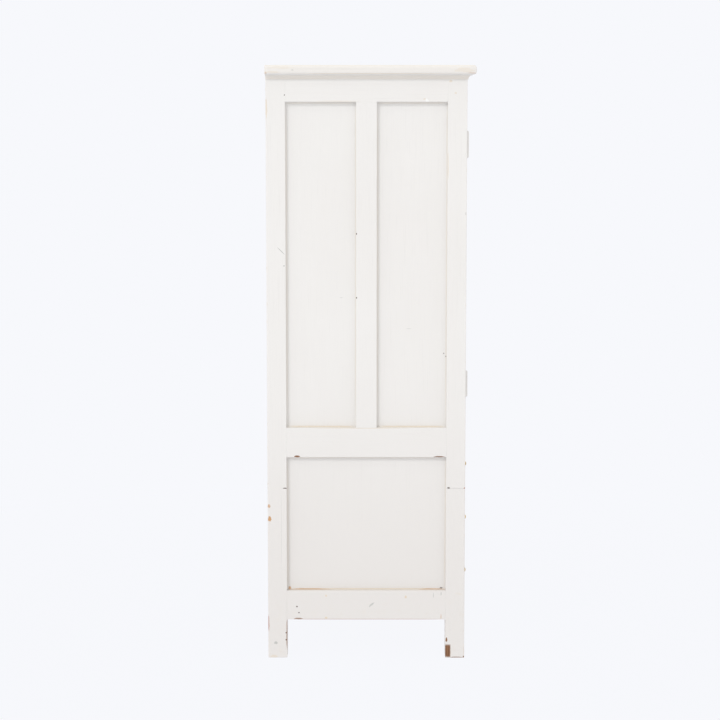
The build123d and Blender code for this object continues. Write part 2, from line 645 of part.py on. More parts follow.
# ---------------------------------------------------------------- door fastenings
def knob_profile(x, z, radius, reach, start):
    """Half the outline of a turned knob: a foot that begins at start, a neck and a domed head."""
    dome_radius = 1.15 * radius  # centred on the knob's axis
    rim_x = 0.9 * radius
    rim_y = reach - dome_radius + (dome_radius**2 - rim_x**2) ** 0.5
    dome_x = rim_x / 2
    dome_middle = (dome_x, reach - dome_radius + (dome_radius**2 - dome_x**2) ** 0.5)
    under_rim = (0.86 * radius, rim_y - 0.3 * radius)
    neck_top = (0.42 * radius, reach - radius)
    foot_edge = (0.6 * radius, start + 1.5)
    plane = Plane(origin=(x, FRONT_Y, z), x_dir=(1, 0, 0), z_dir=(0, 0, -1))
    with BuildSketch(plane, mode=Mode.PRIVATE) as profile:
        with BuildLine():
            ThreePointArc((0, reach), dome_middle, (rim_x, rim_y))
            ThreePointArc((rim_x, rim_y), (radius, rim_y - 0.13 * radius), under_rim)
            ThreePointArc(under_rim, (0.6 * radius, reach - 0.86 * radius), neck_top)
            ThreePointArc(neck_top, (0.34 * radius, 0.25 * reach), foot_edge)
            Polyline(foot_edge, (0.6 * radius, start), (0, start), (0, reach))
        make_face()
    return profile.sketch


latch_profile = knob_profile(MEETING_X, LATCH_HEIGHT, TURN_KNOB, TURN_KNOB_REACH, TURN_GAP)
with BuildPart() as latch_knob:
    revolve(latch_profile, axis=Axis((MEETING_X, FRONT_Y, LATCH_HEIGHT), (0, -1, 0)))
tongue_y = DOOR_BACK + TONGUE_GAP
with BuildPart() as latch_spindle:
    start = (MEETING_X, FRONT_Y - TURN_GAP, LATCH_HEIGHT)
    rod(start, SPINDLE_RADIUS, tongue_y - start[1], (0, 1, 0))
with BuildPart() as latch_tongue:
    length, width, thickness = TONGUE_SIZE
    rod((MEETING_X, tongue_y, LATCH_HEIGHT), width / 2, thickness, (0, 1, 0))
    low = (MEETING_X - width / 2, tongue_y, LATCH_HEIGHT - length)
    block(low, (MEETING_X + width / 2, tongue_y + thickness, LATCH_HEIGHT))
save_group([latch_knob, latch_spindle, latch_tongue], "right_door_turn_latch")

plate_width, plate_thickness, plate_length = BOLT_PLATE
plate_z = BOLT_TOP - 4 - plate_length
with BuildPart() as bolt_plate:
    low = (-MEETING_X - plate_width / 2, DOOR_BACK, plate_z)
    block(low, (-MEETING_X + plate_width / 2, DOOR_BACK + plate_thickness, plate_z + plate_length))
    for z0 in (plate_z + 6, plate_z + plate_length - 6 - STAPLE_HEIGHT):
        rod((-MEETING_X, BOLT_Y, z0), STAPLE_RADIUS, STAPLE_HEIGHT, (0, 0, 1))
        low = (-MEETING_X - STAPLE_RADIUS, DOOR_BACK, z0)
        block(low, (-MEETING_X + STAPLE_RADIUS, BOLT_Y, z0 + STAPLE_HEIGHT))
    low = (-MEETING_X, BOLT_Y, plate_z)
    rod(low, BOLT_RADIUS + BOLT_CLEARANCE, plate_length, (0, 0, 1), Mode.SUBTRACT)
save(bolt_plate, "left_door_bolt_plate")

with BuildPart() as door_bolt:
    rod((-MEETING_X, BOLT_Y, BOLT_TOP - BOLT_LENGTH), BOLT_RADIUS, BOLT_LENGTH, (0, 0, 1))
    chamfer(door_bolt.edges().group_by(Axis.Z)[-1], 1)
    thumb_z = plate_z + 6 + STAPLE_HEIGHT + BOLT_THUMB_RADIUS + 2
    rod((-MEETING_X, BOLT_Y, thumb_z), 2.2, 12, (0, 1, 0))
    with Locations((-MEETING_X, BOLT_Y + 13, thumb_z)):
        Sphere(BOLT_THUMB_RADIUS)
save(door_bolt, "left_door_bolt")


# ---------------------------------------------------------------- drawers
def dovetails(x0, z_floor, mode):
    """The tails on the front end of a drawer side, or their sockets in the drawer front."""
    root_y = FRONT_Y + DRAWER_FRONT
    pitch = DRAWER_SIDE_HEIGHT / TAILS
    with BuildSketch(Plane.YZ.offset(x0), mode=Mode.PRIVATE) as sketch:
        for index in range(TAILS):
            middle = z_floor + (index + 0.5) * pitch
            with BuildLine():
                tip_y = root_y - TAIL_LENGTH
                corners = [(root_y, middle - TAIL_ROOT / 2), (tip_y, middle - TAIL_TIP / 2)]
                corners += [(tip_y, middle + TAIL_TIP / 2), (root_y, middle + TAIL_ROOT / 2)]
                Polyline(*corners, close=True)
            make_face()
    extrude(sketch.sketch, amount=DRAWER_SIDE, mode=mode)


def drawer_bottom(x0, x1, z_floor, mode):
    """The bottom board of a drawer, or the grooves that it slides into."""
    inset = DRAWER_SIDE - DRAWER_GROOVE
    low = (x0 + inset, FRONT_Y + DRAWER_FRONT - DRAWER_GROOVE, z_floor + DRAWER_BOTTOM_RAISE)
    high = (x1 - inset, FRONT_Y + DRAWER_LENGTH, z_floor + DRAWER_BOTTOM_RAISE + DRAWER_BOTTOM)
    block(low, high, mode)


def build_drawer(name, row, column):
    """Writes one drawer's box and its brass fittings."""
    bay_x, bay_z = bay(row, column)
    x0, x1 = bay_x + DRAWER_GAP, bay_x + BAY_WIDTH - DRAWER_GAP
    x_mid = (x0 + x1) / 2
    z_floor = bay_z + DRAWER_RUN_GAP
    z_mid = bay_z + BAY_HEIGHT / 2
    knob_z, card_z = z_mid - KNOB_DROP, z_mid + CARD_FRAME_RISE
    front_back = FRONT_Y + DRAWER_FRONT
    end_y = FRONT_Y + DRAWER_LENGTH
    pin_x = CARD_FRAME[0] / 2 + CARD_EAR / 2

    with BuildPart() as front:
        block((x0, FRONT_Y, bay_z + DRAWER_GAP), (x1, front_back, bay_z + BAY_HEIGHT - DRAWER_GAP))
        for side_x in (x0, x1 - DRAWER_SIDE):
            dovetails(side_x, z_floor, Mode.SUBTRACT)
        drawer_bottom(x0, x1, z_floor, Mode.SUBTRACT)
        rod((x_mid, FRONT_Y, knob_z), KNOB_STUD + 0.1, DRAWER_FRONT, (0, 1, 0), Mode.SUBTRACT)
        for x in (x_mid - pin_x, x_mid + pin_x):
            rod((x, FRONT_Y, card_z), PIN_SHANK + 0.05, PIN_DEPTH, (0, 1, 0), Mode.SUBTRACT)
    box = [front]
    for side_x in (x0, x1 - DRAWER_SIDE):
        with BuildPart() as drawer_side:
            high = (side_x + DRAWER_SIDE, end_y, z_floor + DRAWER_SIDE_HEIGHT)
            block((side_x, front_back, z_floor), high)
            dovetails(side_x, z_floor, Mode.ADD)
            drawer_bottom(x0, x1, z_floor, Mode.SUBTRACT)
        box.append(drawer_side)
    with BuildPart() as back:
        z0 = z_floor + DRAWER_BOTTOM_RAISE + DRAWER_BOTTOM
        high = (x1 - DRAWER_SIDE, end_y, z_floor + DRAWER_SIDE_HEIGHT - DRAWER_BACK_DROP)
        block((x0 + DRAWER_SIDE, end_y - DRAWER_SIDE, z0), high)
    with BuildPart() as bottom:
        drawer_bottom(x0, x1, z_floor, Mode.ADD)
    save_group([*box, back, bottom], f"{name}_box")

    knob_outline = knob_profile(x_mid, knob_z, KNOB_RADIUS, KNOB_REACH, 0)
    with BuildPart() as knob:
        revolve(knob_outline, axis=Axis((x_mid, FRONT_Y, knob_z), (0, -1, 0)))
        rod((x_mid, FRONT_Y, knob_z), KNOB_STUD, DRAWER_FRONT + NUT[1], (0, 1, 0))
    with BuildPart() as nut:
        rod((x_mid, front_back, knob_z), NUT[0], NUT[1], (0, 1, 0))
        rod((x_mid, front_back, knob_z), KNOB_STUD + 0.05, NUT[1], (0, 1, 0), Mode.SUBTRACT)
    with BuildPart() as card_frame:
        half_w, half_h = CARD_FRAME[0] / 2, CARD_FRAME[1] / 2
        face_y = FRONT_Y - CARD_FRAME_DEPTH
        block((x_mid - half_w, face_y, card_z - half_h), (x_mid + half_w, FRONT_Y, card_z + half_h))
        for x in (x_mid - pin_x, x_mid + pin_x):
            rod((x, FRONT_Y - EAR_THICKNESS, card_z), CARD_EAR, EAR_THICKNESS, (0, 1, 0))
        window = (half_w - CARD_BORDER, half_h - CARD_BORDER)
        low = (x_mid - window[0], face_y, card_z - window[1])
        block(low, (x_mid + window[0], FRONT_Y, card_z + window[1]), Mode.SUBTRACT)
        # The card slides down from above into a slot behind the frame's lips.
        slot = (half_w - CARD_BORDER / 2, half_h - CARD_BORDER / 2)
        low = (x_mid - slot[0], FRONT_Y - CARD_SLOT, card_z - slot[1])
        block(low, (x_mid + slot[0], FRONT_Y, card_z + half_h), Mode.SUBTRACT)
        for x in (x_mid - pin_x, x_mid + pin_x):
            rod((x, face_y, card_z), PIN_SHANK + 0.05, CARD_FRAME_DEPTH, (0, 1, 0), Mode.SUBTRACT)
    pins = []
    for x in (x_mid - pin_x, x_mid + pin_x):
        with BuildPart() as pin:
            rod((x, FRONT_Y - EAR_THICKNESS, card_z), PIN_SHANK, PIN_DEPTH, (0, 1, 0))
            rod((x, FRONT_Y - EAR_THICKNESS - 1, card_z), PIN_HEAD, 1, (0, 1, 0))
            fillet(pin.edges().group_by(Axis.Y)[0], 0.8)
        pins.append(pin)
    save_group([knob, nut, card_frame, *pins], f"{name}_pull")


for row in range(ROWS):
    for column in range(COLUMNS):
        build_drawer(f"drawer_{row * COLUMNS + column + 1}", row, column)
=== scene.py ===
"""The looks of a tall painted apothecary cabinet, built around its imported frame.

Every wooden piece is a plank: a rounded rectangle carried along its grain. The top board and the
cornice are mouldings carried round the cabinet, and each pane is a slightly wavy sheet of glass.
Lengths are metres, +Z is up and the cabinet's front faces -Y.
"""

import logging
import math
from dataclasses import dataclass
from enum import Enum
from typing import Any, Iterable, Sequence

import bpy
import numpy as np
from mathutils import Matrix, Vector


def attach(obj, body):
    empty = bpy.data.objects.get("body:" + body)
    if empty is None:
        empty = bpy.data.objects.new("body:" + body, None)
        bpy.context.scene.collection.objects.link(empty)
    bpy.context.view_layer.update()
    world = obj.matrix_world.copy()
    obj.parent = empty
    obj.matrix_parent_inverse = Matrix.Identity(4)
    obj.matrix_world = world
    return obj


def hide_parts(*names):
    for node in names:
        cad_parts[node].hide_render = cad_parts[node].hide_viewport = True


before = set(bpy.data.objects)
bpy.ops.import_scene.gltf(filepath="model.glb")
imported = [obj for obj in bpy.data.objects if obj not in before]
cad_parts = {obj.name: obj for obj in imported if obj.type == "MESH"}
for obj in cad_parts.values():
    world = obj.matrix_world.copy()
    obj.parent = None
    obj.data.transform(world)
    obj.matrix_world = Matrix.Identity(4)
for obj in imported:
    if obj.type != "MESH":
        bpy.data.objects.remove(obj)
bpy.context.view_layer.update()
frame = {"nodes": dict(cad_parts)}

Pair = tuple[float, float]
Vec3 = tuple[float, float, float]
SMOOTH_UNDER = math.radians(38)  # a bend between faces sharper than this stays a crisp edge
NEAR_EDGE = (0.0025, 0.008)  # how far from a plank's edge the rubbing fades, in two steps
NEAR_WEAR = (0.55, 0.12)  # how worn it is at those two places
LOG = logging.getLogger("cabinet")


class Grain(Enum):
    """The way a plank's grain runs. The value gives the places of its width, thickness and length."""

    ALONG_X = (1, 2, 0)
    ALONG_Y = (2, 0, 1)
    ALONG_Z = (0, 1, 2)


class Flaw(Enum):
    """What a mark in the paint shows."""

    BARE = "bare"
    # A stain; where it lies along panel recesses and under the top board, it is painted shade.
    STAIN_AND_SHADE = "stain"
    AMBER = "amber"
    PINK = "pink"
    DIRT = "dirt"
    SMEAR = "smear"
    FILLER = "filler"


# ---------------------------------------------------------------- shader arithmetic
class Wire:
    """A node's output, usable in Python arithmetic: each operator adds a Math node."""

    def __init__(self, recipe: "Recipe", socket: bpy.types.NodeSocket) -> None:
        """Args: recipe: the material being written. socket: the output that is wrapped."""
        self.recipe = recipe
        self.socket = socket

    def math(self, operation: str, *values: Any, clamp: bool = False) -> "Wire":
        """Adds one Math node.

        Args:
            operation: the Math node's operation.
            values: its inputs, in order, as wires or numbers.
            clamp: whether the result is kept between 0 and 1.

        Returns:
            The node's output.
        """
        settings = {"operation": operation, "use_clamp": clamp}
        return self.recipe.node("ShaderNodeMath", settings, dict(enumerate(values)))

    def __add__(self, other: Any) -> "Wire":
        """self + other."""
        return self.math("ADD", self, other)

    def __radd__(self, other: Any) -> "Wire":
        """other + self."""
        return self.math("ADD", other, self)

    def __sub__(self, other: Any) -> "Wire":
        """self - other."""
        return self.math("SUBTRACT", self, other)

    def __rsub__(self, other: Any) -> "Wire":
        """other - self."""
        return self.math("SUBTRACT", other, self)

    def __mul__(self, other: Any) -> "Wire":
        """self * other."""
        return self.math("MULTIPLY", self, other)

    def __rmul__(self, other: Any) -> "Wire":
        """other * self."""
        return self.math("MULTIPLY", other, self)

    def __pow__(self, other: float) -> "Wire":
        """self to a power."""
        return self.math("POWER", self, other)

    def over(self, other: Any) -> "Wire":
        """The larger of the two."""
        return self.math("MAXIMUM", self, other)

    def clamped(self) -> "Wire":
        """self, kept between 0 and 1."""
        return self.math("ADD", self, 0.0, clamp=True)

    def step(self, low: float, high: float) -> "Wire":
        """A smooth step from 0 at low to 1 at high; low may be the larger."""
        settings = {"interpolation_type": "SMOOTHSTEP"}
        ends = (low, high, 0.0, 1.0) if low < high else (high, low, 1.0, 0.0)
        sockets = {0: self, **dict(enumerate(ends, start=1))}
        return self.recipe.node("ShaderNodeMapRange", settings, sockets)


class Recipe:
    """One material, written as expressions on wires."""

    def __init__(self, name: str) -> None:
        """Args: name: the material's name."""
        self.material = bpy.data.materials.new(name)
        self.material.use_nodes = True
        self.tree = self.material.node_tree
        self.tree.nodes.clear()

    def node(
        self,
        kind: str,
        settings: dict | None = None,
        sockets: dict | None = None,
        outlet: int = 0,
    ) -> Wire:
        """Adds one node.

        Args:
            kind: the node's type.
            settings: its own properties, set before its sockets.
            sockets: input names or numbers, with the wires or plain values they take.
            outlet: the number of the output to return.

        Returns:
            That output.
        """
        made = self.tree.nodes.new(kind)
        for key, value in (settings or {}).items():
            setattr(made, key, value)
        for key, value in (sockets or {}).items():
            if isinstance(value, Wire):
                self.tree.links.new(value.socket, made.inputs[key])
            else:
                made.inputs[key].default_value = value
        return Wire(self, made.outputs[outlet])

    def place(self) -> Wire:
        """The point's own place on the cabinet, in metres."""
        return self.node("ShaderNodeTexCoord", outlet=3)

    def plank(self) -> Wire:
        """The point's place on its plank: along the grain, across it, and through it."""
        return self.node("ShaderNodeAttribute", {"attribute_name": "plank"}, outlet=1)

    def edge(self) -> Wire:
        """How near a point is to a plank's worn edges, from 0 to 1."""
        return self.node("ShaderNodeAttribute", {"attribute_name": "edge"}, outlet=2)

    def scaled(self, vector: Wire, by: Vec3) -> Wire:
        """A vector multiplied by another, part by part."""
        return self.node("ShaderNodeVectorMath", {"operation": "MULTIPLY"}, {0: vector, 1: by})

    def noise(self, vector: Wire, scale: float, detail: float = 3.0, roughness: float = 0.5) -> Wire:
        """Fractal noise from 0 to 1."""
        sockets = {"Vector": vector, "Scale": scale, "Detail": detail, "Roughness": roughness}
        return self.node("ShaderNodeTexNoise", None, sockets)

    def blend(self, factor: Any, first: Any, second: Any) -> Wire:
        """A colour between first, at factor 0, and second, at factor 1."""
        as_colour = [(*c, 1.0) if isinstance(c, tuple) else c for c in (first, second)]
        sockets = {0: factor, 6: as_colour[0], 7: as_colour[1]}
        return self.node("ShaderNodeMix", {"data_type": "RGBA"}, sockets, 2)

    def bump(self, height: Wire, depth: float, strength: float) -> Wire:
        """A normal tilted by a height map whose full range is depth, in metres."""
        sockets = {"Strength": strength, "Distance": depth, "Height": height}
        return self.node("ShaderNodeBump", None, sockets)

    def finish(self, surface: Wire) -> bpy.types.Material:
        """Connects a shader to the material's output and returns the material."""
        output = self.tree.nodes.new("ShaderNodeOutputMaterial")
        self.tree.links.new(surface.socket, output.inputs["Surface"])
        return self.material

    def surface(self, **sockets: Any) -> Wire:
        """A Principled shader; an underscore in a name stands for a space."""
        named = {key.replace("_", " "): value for key, value in sockets.items()}
        return self.node("ShaderNodeBsdfPrincipled", None, named)


# ---------------------------------------------------------------- finishes
@dataclass(frozen=True)
class Mark:
    """One mark in the paint: a ragged patch with its centre, half-sizes and tilt about X in degrees."""

    flaw: Flaw
    at: Vec3
    half: Vec3
    strength: float = 1.0
    tilt: float = 0.0
    ragged: float = 0.7
    square: bool = False

    def mask(self, recipe: Recipe, point: Wire) -> Wire:
        """One inside the patch and 0 outside: a smooth step on the distance in half-sizes, plus noise."""
        sockets = {
            "Vector": point,
            "Location": self.at,
            "Rotation": (math.radians(self.tilt), 0.0, 0.0),
            "Scale": self.half,
        }
        local = recipe.node("ShaderNodeMapping", {"vector_type": "TEXTURE"}, sockets)
        if self.square:
            x, y, z = (recipe.node("ShaderNodeSeparateXYZ", None, {0: local}, axis) for axis in range(3))
            distance = x.math("ABSOLUTE", x).over(y.math("ABSOLUTE", y)).over(z.math("ABSOLUTE", z))
        else:
            distance = recipe.node("ShaderNodeVectorMath", {"operation": "LENGTH"}, {0: local}, 1)
        grit = recipe.noise(local, 1.7, 3.0, 0.65)
        return (distance + (grit - 0.5) * (2 * self.ragged)).step(1.1, 0.7) * self.strength


@dataclass(frozen=True)
class BareWood:
    """Unpainted softwood gone brown with age, with growth rings, pores and a little dirt."""

    light: Vec3 = (0.47, 0.29, 0.155)
    dark: Vec3 = (0.24, 0.125, 0.062)
    dust: Vec3 = (0.30, 0.24, 0.18)
    ring_width: float = 0.011
    by_place: bool = False

    def colour(self, r: Recipe, point: Wire, plank: Wire, edge: Wire) -> tuple[Wire, Wire]:
        """The wood's colour and relief. Rings are a sine of a wandering distance across the grain."""
        wander = r.noise(r.scaled(plank, (0.9, 5.0, 5.0)), 1.0, 3.0, 0.55)
        tree = r.noise(r.scaled(plank, (0.12, 1.9, 1.9)), 1.0, 1.0)
        across = r.node("ShaderNodeSeparateXYZ", None, {0: plank}, 1)
        through = r.node("ShaderNodeSeparateXYZ", None, {0: plank}, 2)
        phase = (across + through * 0.7 + wander * 0.11) * (2 * math.pi / self.ring_width)
        rings = phase.math("SINE", phase) * 0.5 + 0.5
        pores = r.noise(r.scaled(plank, (22.0, 1400.0, 1400.0)), 1.0, 3.0, 0.7)
        cloud = r.noise(point, 4.0, 4.0, 0.6)
        late = (rings ** 3.0) * (0.22 + cloud * 0.28)
        tone = late + pores.step(0.35, 0.7) * 0.25 + tree.step(0.35, 0.65) * 0.35 + cloud * 0.15
        wood = r.blend(tone.clamped(), self.light, self.dark)
        grime = (cloud.step(0.45, 0.75) * 0.4 + edge * 0.25).clamped()
        return r.blend(grime * 0.6, wood, self.dust), pores * 0.7 + rings * 0.4

    def material(self, name: str) -> bpy.types.Material:
        """Writes the material."""
        r = Recipe(name)
        plank = r.place() if self.by_place else r.plank()
        colour, relief = self.colour(r, r.place(), plank, r.edge())
        roughness = (0.58 + relief * 0.2).clamped()
        normal = r.bump(relief, 0.0003, 0.6)
        body = r.surface(Base_Color=colour, Roughness=roughness, Normal=normal, Specular_IOR_Level=0.3)
        return r.finish(body)


@dataclass(frozen=True)
class WornPaint:
    """Brushed off-white paint over reddish-brown wood, rubbed through at its edges.

    The wood is left bare inside the cabinet: further from the front than paint_to, between the side
    frames, in front of the back boards and above the bottom rails.
    """

    wear: float = 0.25
    marks: tuple[Mark, ...] = ()
    paint_to: float = -0.2625
    on_metal: bool = False
    timber: BareWood = BareWood()
    paint: Vec3 = (0.802, 0.792, 0.776)
    shade: Vec3 = (0.782, 0.767, 0.748)
    # The colour the paint darkens to at the feet: painted shade.
    painted_low_shade: Vec3 = (0.728, 0.704, 0.682)
    wood_dark: Vec3 = (0.105, 0.045, 0.022)
    wood_light: Vec3 = (0.34, 0.17, 0.085)
    # Stain colour, also laid as painted shade along panel recesses and under the top board.
    stain: Vec3 = (0.70, 0.58, 0.42)
    amber: Vec3 = (0.55, 0.30, 0.13)
    pink: Vec3 = (0.46, 0.27, 0.23)
    dirt: Vec3 = (0.075, 0.05, 0.04)
    smear: Vec3 = (0.42, 0.43, 0.41)
    filler: Vec3 = (0.86, 0.86, 0.85)

    def material(self, name: str) -> bpy.types.Material:
        """Writes the material.

        Args:
            name: the material's name.

        Returns:
            The material, for pieces that carry the plank and edge attributes.
        """
        r = Recipe(name)
        point, plank, edge = r.place(), r.plank(), r.edge()
        if self.on_metal:
            plank = point
        # Brush strokes: noise drawn out along the grain.
        strokes = r.noise(r.scaled(plank, (7.0, 420.0, 420.0)), 1.0, 3.0, 0.6)
        broad = r.noise(r.scaled(plank, (2.2, 34.0, 34.0)), 1.0, 2.0)
        cloud = r.noise(point, 3.1, 4.0, 0.6)
        grit = r.noise(point, 210.0, 4.0, 0.65)
        fine = r.noise(point, 900.0, 2.0)
        patch = r.noise(point, 38.0, 5.0, 0.68)

        coat = r.blend((cloud.step(0.3, 0.72) * 0.6 + broad * 0.4).clamped(), self.paint, self.shade)
        coat = r.blend((strokes - 0.5).step(0.02, 0.3) * 0.05, coat, self.dirt)
        # Dust and old varnish yellow the ledges, and the paint darkens from the top down to the feet: painted
        # shade, for the weaker light near the floor.
        up = r.node("ShaderNodeSeparateXYZ", None, {0: r.node("ShaderNodeNewGeometry", outlet=1)}, 2)
        ledge = up.step(0.5, 0.95) * 0.35
        coat = r.blend(ledge, coat, (0.80, 0.755, 0.66))
        height = r.node("ShaderNodeSeparateXYZ", None, {0: point}, 2)
        coat = r.blend(height.step(1.05, 0.05), coat, self.painted_low_shade)
        low_grime = height.step(0.3, 0.0) * patch.step(0.5, 0.75) * 0.14
        coat = r.blend(low_grime, coat, self.stain)
        # Rubbed edges, worst where the patch noise is high.
        rub = edge * (0.55 + self.wear) + (patch - 0.5) * 1.5 + (grit - 0.5) * 0.5
        chipped = rub.step(0.98, 1.04)
        halo = rub.step(0.7, 1.0) * 0.3
        coat = r.blend(halo, coat, self.stain)

        masks: dict[Flaw, Wire] = {}
        for mark in self.marks:
            found = mark.mask(r, point)
            masks[mark.flaw] = masks[mark.flaw].over(found) if mark.flaw in masks else found
        tints = {
            Flaw.STAIN_AND_SHADE: self.stain,
            Flaw.PINK: self.pink,
            Flaw.AMBER: self.amber,
            Flaw.SMEAR: self.smear,
            Flaw.DIRT: self.dirt,
            Flaw.FILLER: self.filler,
        }
        for flaw, colour in tints.items():
            if flaw in masks:
                coat = r.blend(masks[flaw], coat, colour)
        bare = chipped.over(masks[Flaw.BARE]) if Flaw.BARE in masks else chipped

        fibres = r.noise(r.scaled(plank, (14.0, 900.0, 900.0)), 1.0, 4.0, 0.7)
        wood = r.blend(fibres.step(0.32, 0.68), self.wood_dark, self.wood_light)
        colour = r.blend(bare.clamped(), coat, wood)
        unpainted = self._indoors(r, point)
        inner, _ = self.timber.colour(r, point, plank, edge)
        colour = r.blend(unpainted, colour, inner)
        bare = bare.over(unpainted)
        roughness = 0.42 + strokes * 0.12 + patch * 0.08 + bare * 0.3
        relief = strokes * 0.6 + broad * 0.9 + fine * 0.12 + (1.0 - bare.clamped()) * 1.6
        normal = r.bump(relief, 0.00022, 0.55)
        sockets = {"Roughness": roughness.clamped(), "Normal": normal, "Specular_IOR_Level": 0.42}
        return r.finish(r.surface(Base_Color=colour, **sockets))

    def _indoors(self, r: Recipe, point: Wire) -> Wire:
        """One inside the cabinet and 0 outside."""
        x, y, z = (r.node("ShaderNodeSeparateXYZ", None, {0: point}, axis) for axis in range(3))
        sides = x.math("ABSOLUTE", x).step(0.4765, 0.4755)
        levels = z.step(0.15, 0.152) * z.step(1.7715, 1.771)
        return sides * y.step(self.paint_to, self.paint_to + 0.0008) * y.step(0.3, 0.299) * levels


@dataclass(frozen=True)
class AgedBrass:
    """Brass with a brown patina, rubbed bright in places and finely scratched."""

    bright: Vec3 = (0.72, 0.53, 0.25)
    brown: Vec3 = (0.27, 0.17, 0.08)

    def material(self, name: str) -> bpy.types.Material:
        """Writes the material."""
        r = Recipe(name)
        point = r.place()
        cloud = r.noise(point, 95.0, 5.0, 0.65)
        spots = r.noise(point, 620.0, 3.0, 0.6)
        scratch = r.noise(r.scaled(point, (2600.0, 260.0, 500.0)), 1.0, 2.0)
        patina = (cloud.step(0.36, 0.66) * 0.75 + spots.step(0.5, 0.75) * 0.35).clamped()
        colour = r.blend(patina, self.bright, self.brown)
        roughness = (0.24 + patina * 0.3 + scratch * 0.1).clamped()
        normal = r.bump(spots * 0.5 + scratch * 0.5, 0.00006, 0.5)
        return r.finish(r.surface(Base_Color=colour, Metallic=1.0, Roughness=roughness, Normal=normal))


@dataclass(frozen=True)
class OldGlass:
    """Thin window glass: clear, a little green, brighter in reflection at a slant, with faint dust."""

    tint: Vec3 = (0.972, 0.984, 0.978)
    ior: float = 1.48

    def material(self, name: str) -> bpy.types.Material:
        """Writes the material: clear and glossy shaders mixed by Fresnel's law and by dust."""
        r = Recipe(name)
        point = r.place()
        dust = r.noise(point, 14.0, 5.0, 0.62).step(0.45, 0.8)
        clear = r.node("ShaderNodeBsdfTransparent", None, {"Color": (*self.tint, 1.0)})
        mirror = {"Roughness": 0.03, "Specular_IOR_Level": 1.0, "Metallic": 0.9}
        gloss = r.surface(Base_Color=(0.8, 0.83, 0.82, 1.0), **mirror)
        share = r.node("ShaderNodeFresnel", None, {"IOR": self.ior}) * 0.9 + dust * 0.035
        mixed = r.node("ShaderNodeMixShader", None, {0: share.clamped(), 1: clear, 2: gloss})
        return r.finish(mixed)


@dataclass(frozen=True)
class StudioPaper:
    """The pale floor: it glows nearly as bright as the background and fades into it further out."""

    background: Vec3
    colour: Vec3 = (0.012, 0.012, 0.0123)
    glow: float = 0.984
    fade: Pair = (1.1, 2.4)

    def material(self, name: str) -> bpy.types.Material:
        """Writes the material."""
        r = Recipe(name)
        point = r.place()
        grain = r.noise(point, 30.0, 2.0)
        tone = r.blend(grain * 0.1, self.colour, (0.011, 0.011, 0.0112))
        colour = (*self.background, 1.0)
        glow = {"Emission_Color": colour, "Emission_Strength": self.glow, "Specular_IOR_Level": 0.0}
        near = r.surface(Base_Color=tone, Roughness=0.9, **glow)
        far = r.node("ShaderNodeEmission", None, {"Color": colour, "Strength": 1.0})
        distance = r.node("ShaderNodeVectorMath", {"operation": "LENGTH"}, {0: point}, 1)
        share = distance.step(*self.fade)
        return r.finish(r.node("ShaderNodeMixShader", None, {0: share, 1: near, 2: far}))


# ---------------------------------------------------------------- surfaces
@dataclass
class Shell:
    """A closed mesh with two things known at each point: its place on its plank and how worn it is."""

    points: np.ndarray
    faces: list[tuple[int, ...]]
    plank: np.ndarray
    edge: np.ndarray

    @staticmethod
    def join(shells: Iterable["Shell"]) -> "Shell":
        """One shell that holds several, as separate closed surfaces."""
        points, faces, plank, edge, start = [], [], [], [], 0
        for shell in shells:
            points.append(shell.points)
            plank.append(shell.plank)
            edge.append(shell.edge)
            faces += [tuple(i + start for i in face) for face in shell.faces]
            start += len(shell.points)
        return Shell(np.concatenate(points), faces, np.concatenate(plank), np.concatenate(edge))

    def piece(
        self,
        name: str,
        material: bpy.types.Material,
        body: str,
        slot: str,
        stands_for: Sequence[str] = (),
    ) -> bpy.types.Object:
        """Makes the Blender object and ties it to the frame.

        Args:
            name: the piece's name.
            material: its finish.
            body: the moving body that it rides on.
            slot: the piece's material slot; not used.
            stands_for: the frame's nodes that it replaces.

        Returns:
            The object, at the origin, with its place in its mesh.
        """
        mesh = bpy.data.meshes.new(name)
        mesh.from_pydata(self.points.tolist(), [], self.faces)
        for label, kind, values in (("plank", "FLOAT_VECTOR", self.plank), ("edge", "FLOAT", self.edge)):
            attribute = mesh.attributes.new(label, kind, "POINT")
            key = "vector" if kind == "FLOAT_VECTOR" else "value"
            attribute.data.foreach_set(key, np.ascontiguousarray(values, np.float32).ravel())
        mesh.materials.append(material)
        mesh.update()
        mesh.shade_smooth()
        mesh.set_sharp_from_angle(angle=SMOOTH_UNDER)
        made = bpy.data.objects.new(name, mesh)
        bpy.context.scene.collection.objects.link(made)
        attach(made, body)
        if stands_for:
            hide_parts(*stands_for)
        LOG.info("%s: %d points, rides on %s", name, len(self.points), body)
        return made


def rings_to_faces(rings: int, around: int, caps: bool = True) -> list[tuple[int, ...]]:
    """Quads between consecutive rings of points, and a flat cap on each end.

    Args:
        rings: how many rings there are.
        around: how many points each ring has.
        caps: whether the first and last rings are closed.

    Returns:
        The faces, facing outwards where a ring runs anticlockwise seen from the end it goes towards.
    """
    i = np.arange(rings - 1)[:, None] * around
    j = np.arange(around)[None, :]
    k = (j + 1) % around
    quads = np.stack([i + j, i + k, i + around + k, i + around + j], axis=-1).reshape(-1, 4)
    faces = [tuple(q) for q in quads.tolist()]
    if caps:
        faces.append(tuple(range(around - 1, -1, -1)))
        faces.append(tuple(range((rings - 1) * around, rings * around)))
    return faces


@dataclass(frozen=True)
class Step:
    """From this place along the grain onwards, the plank is this wide."""

    at: float
    low: float
    high: float


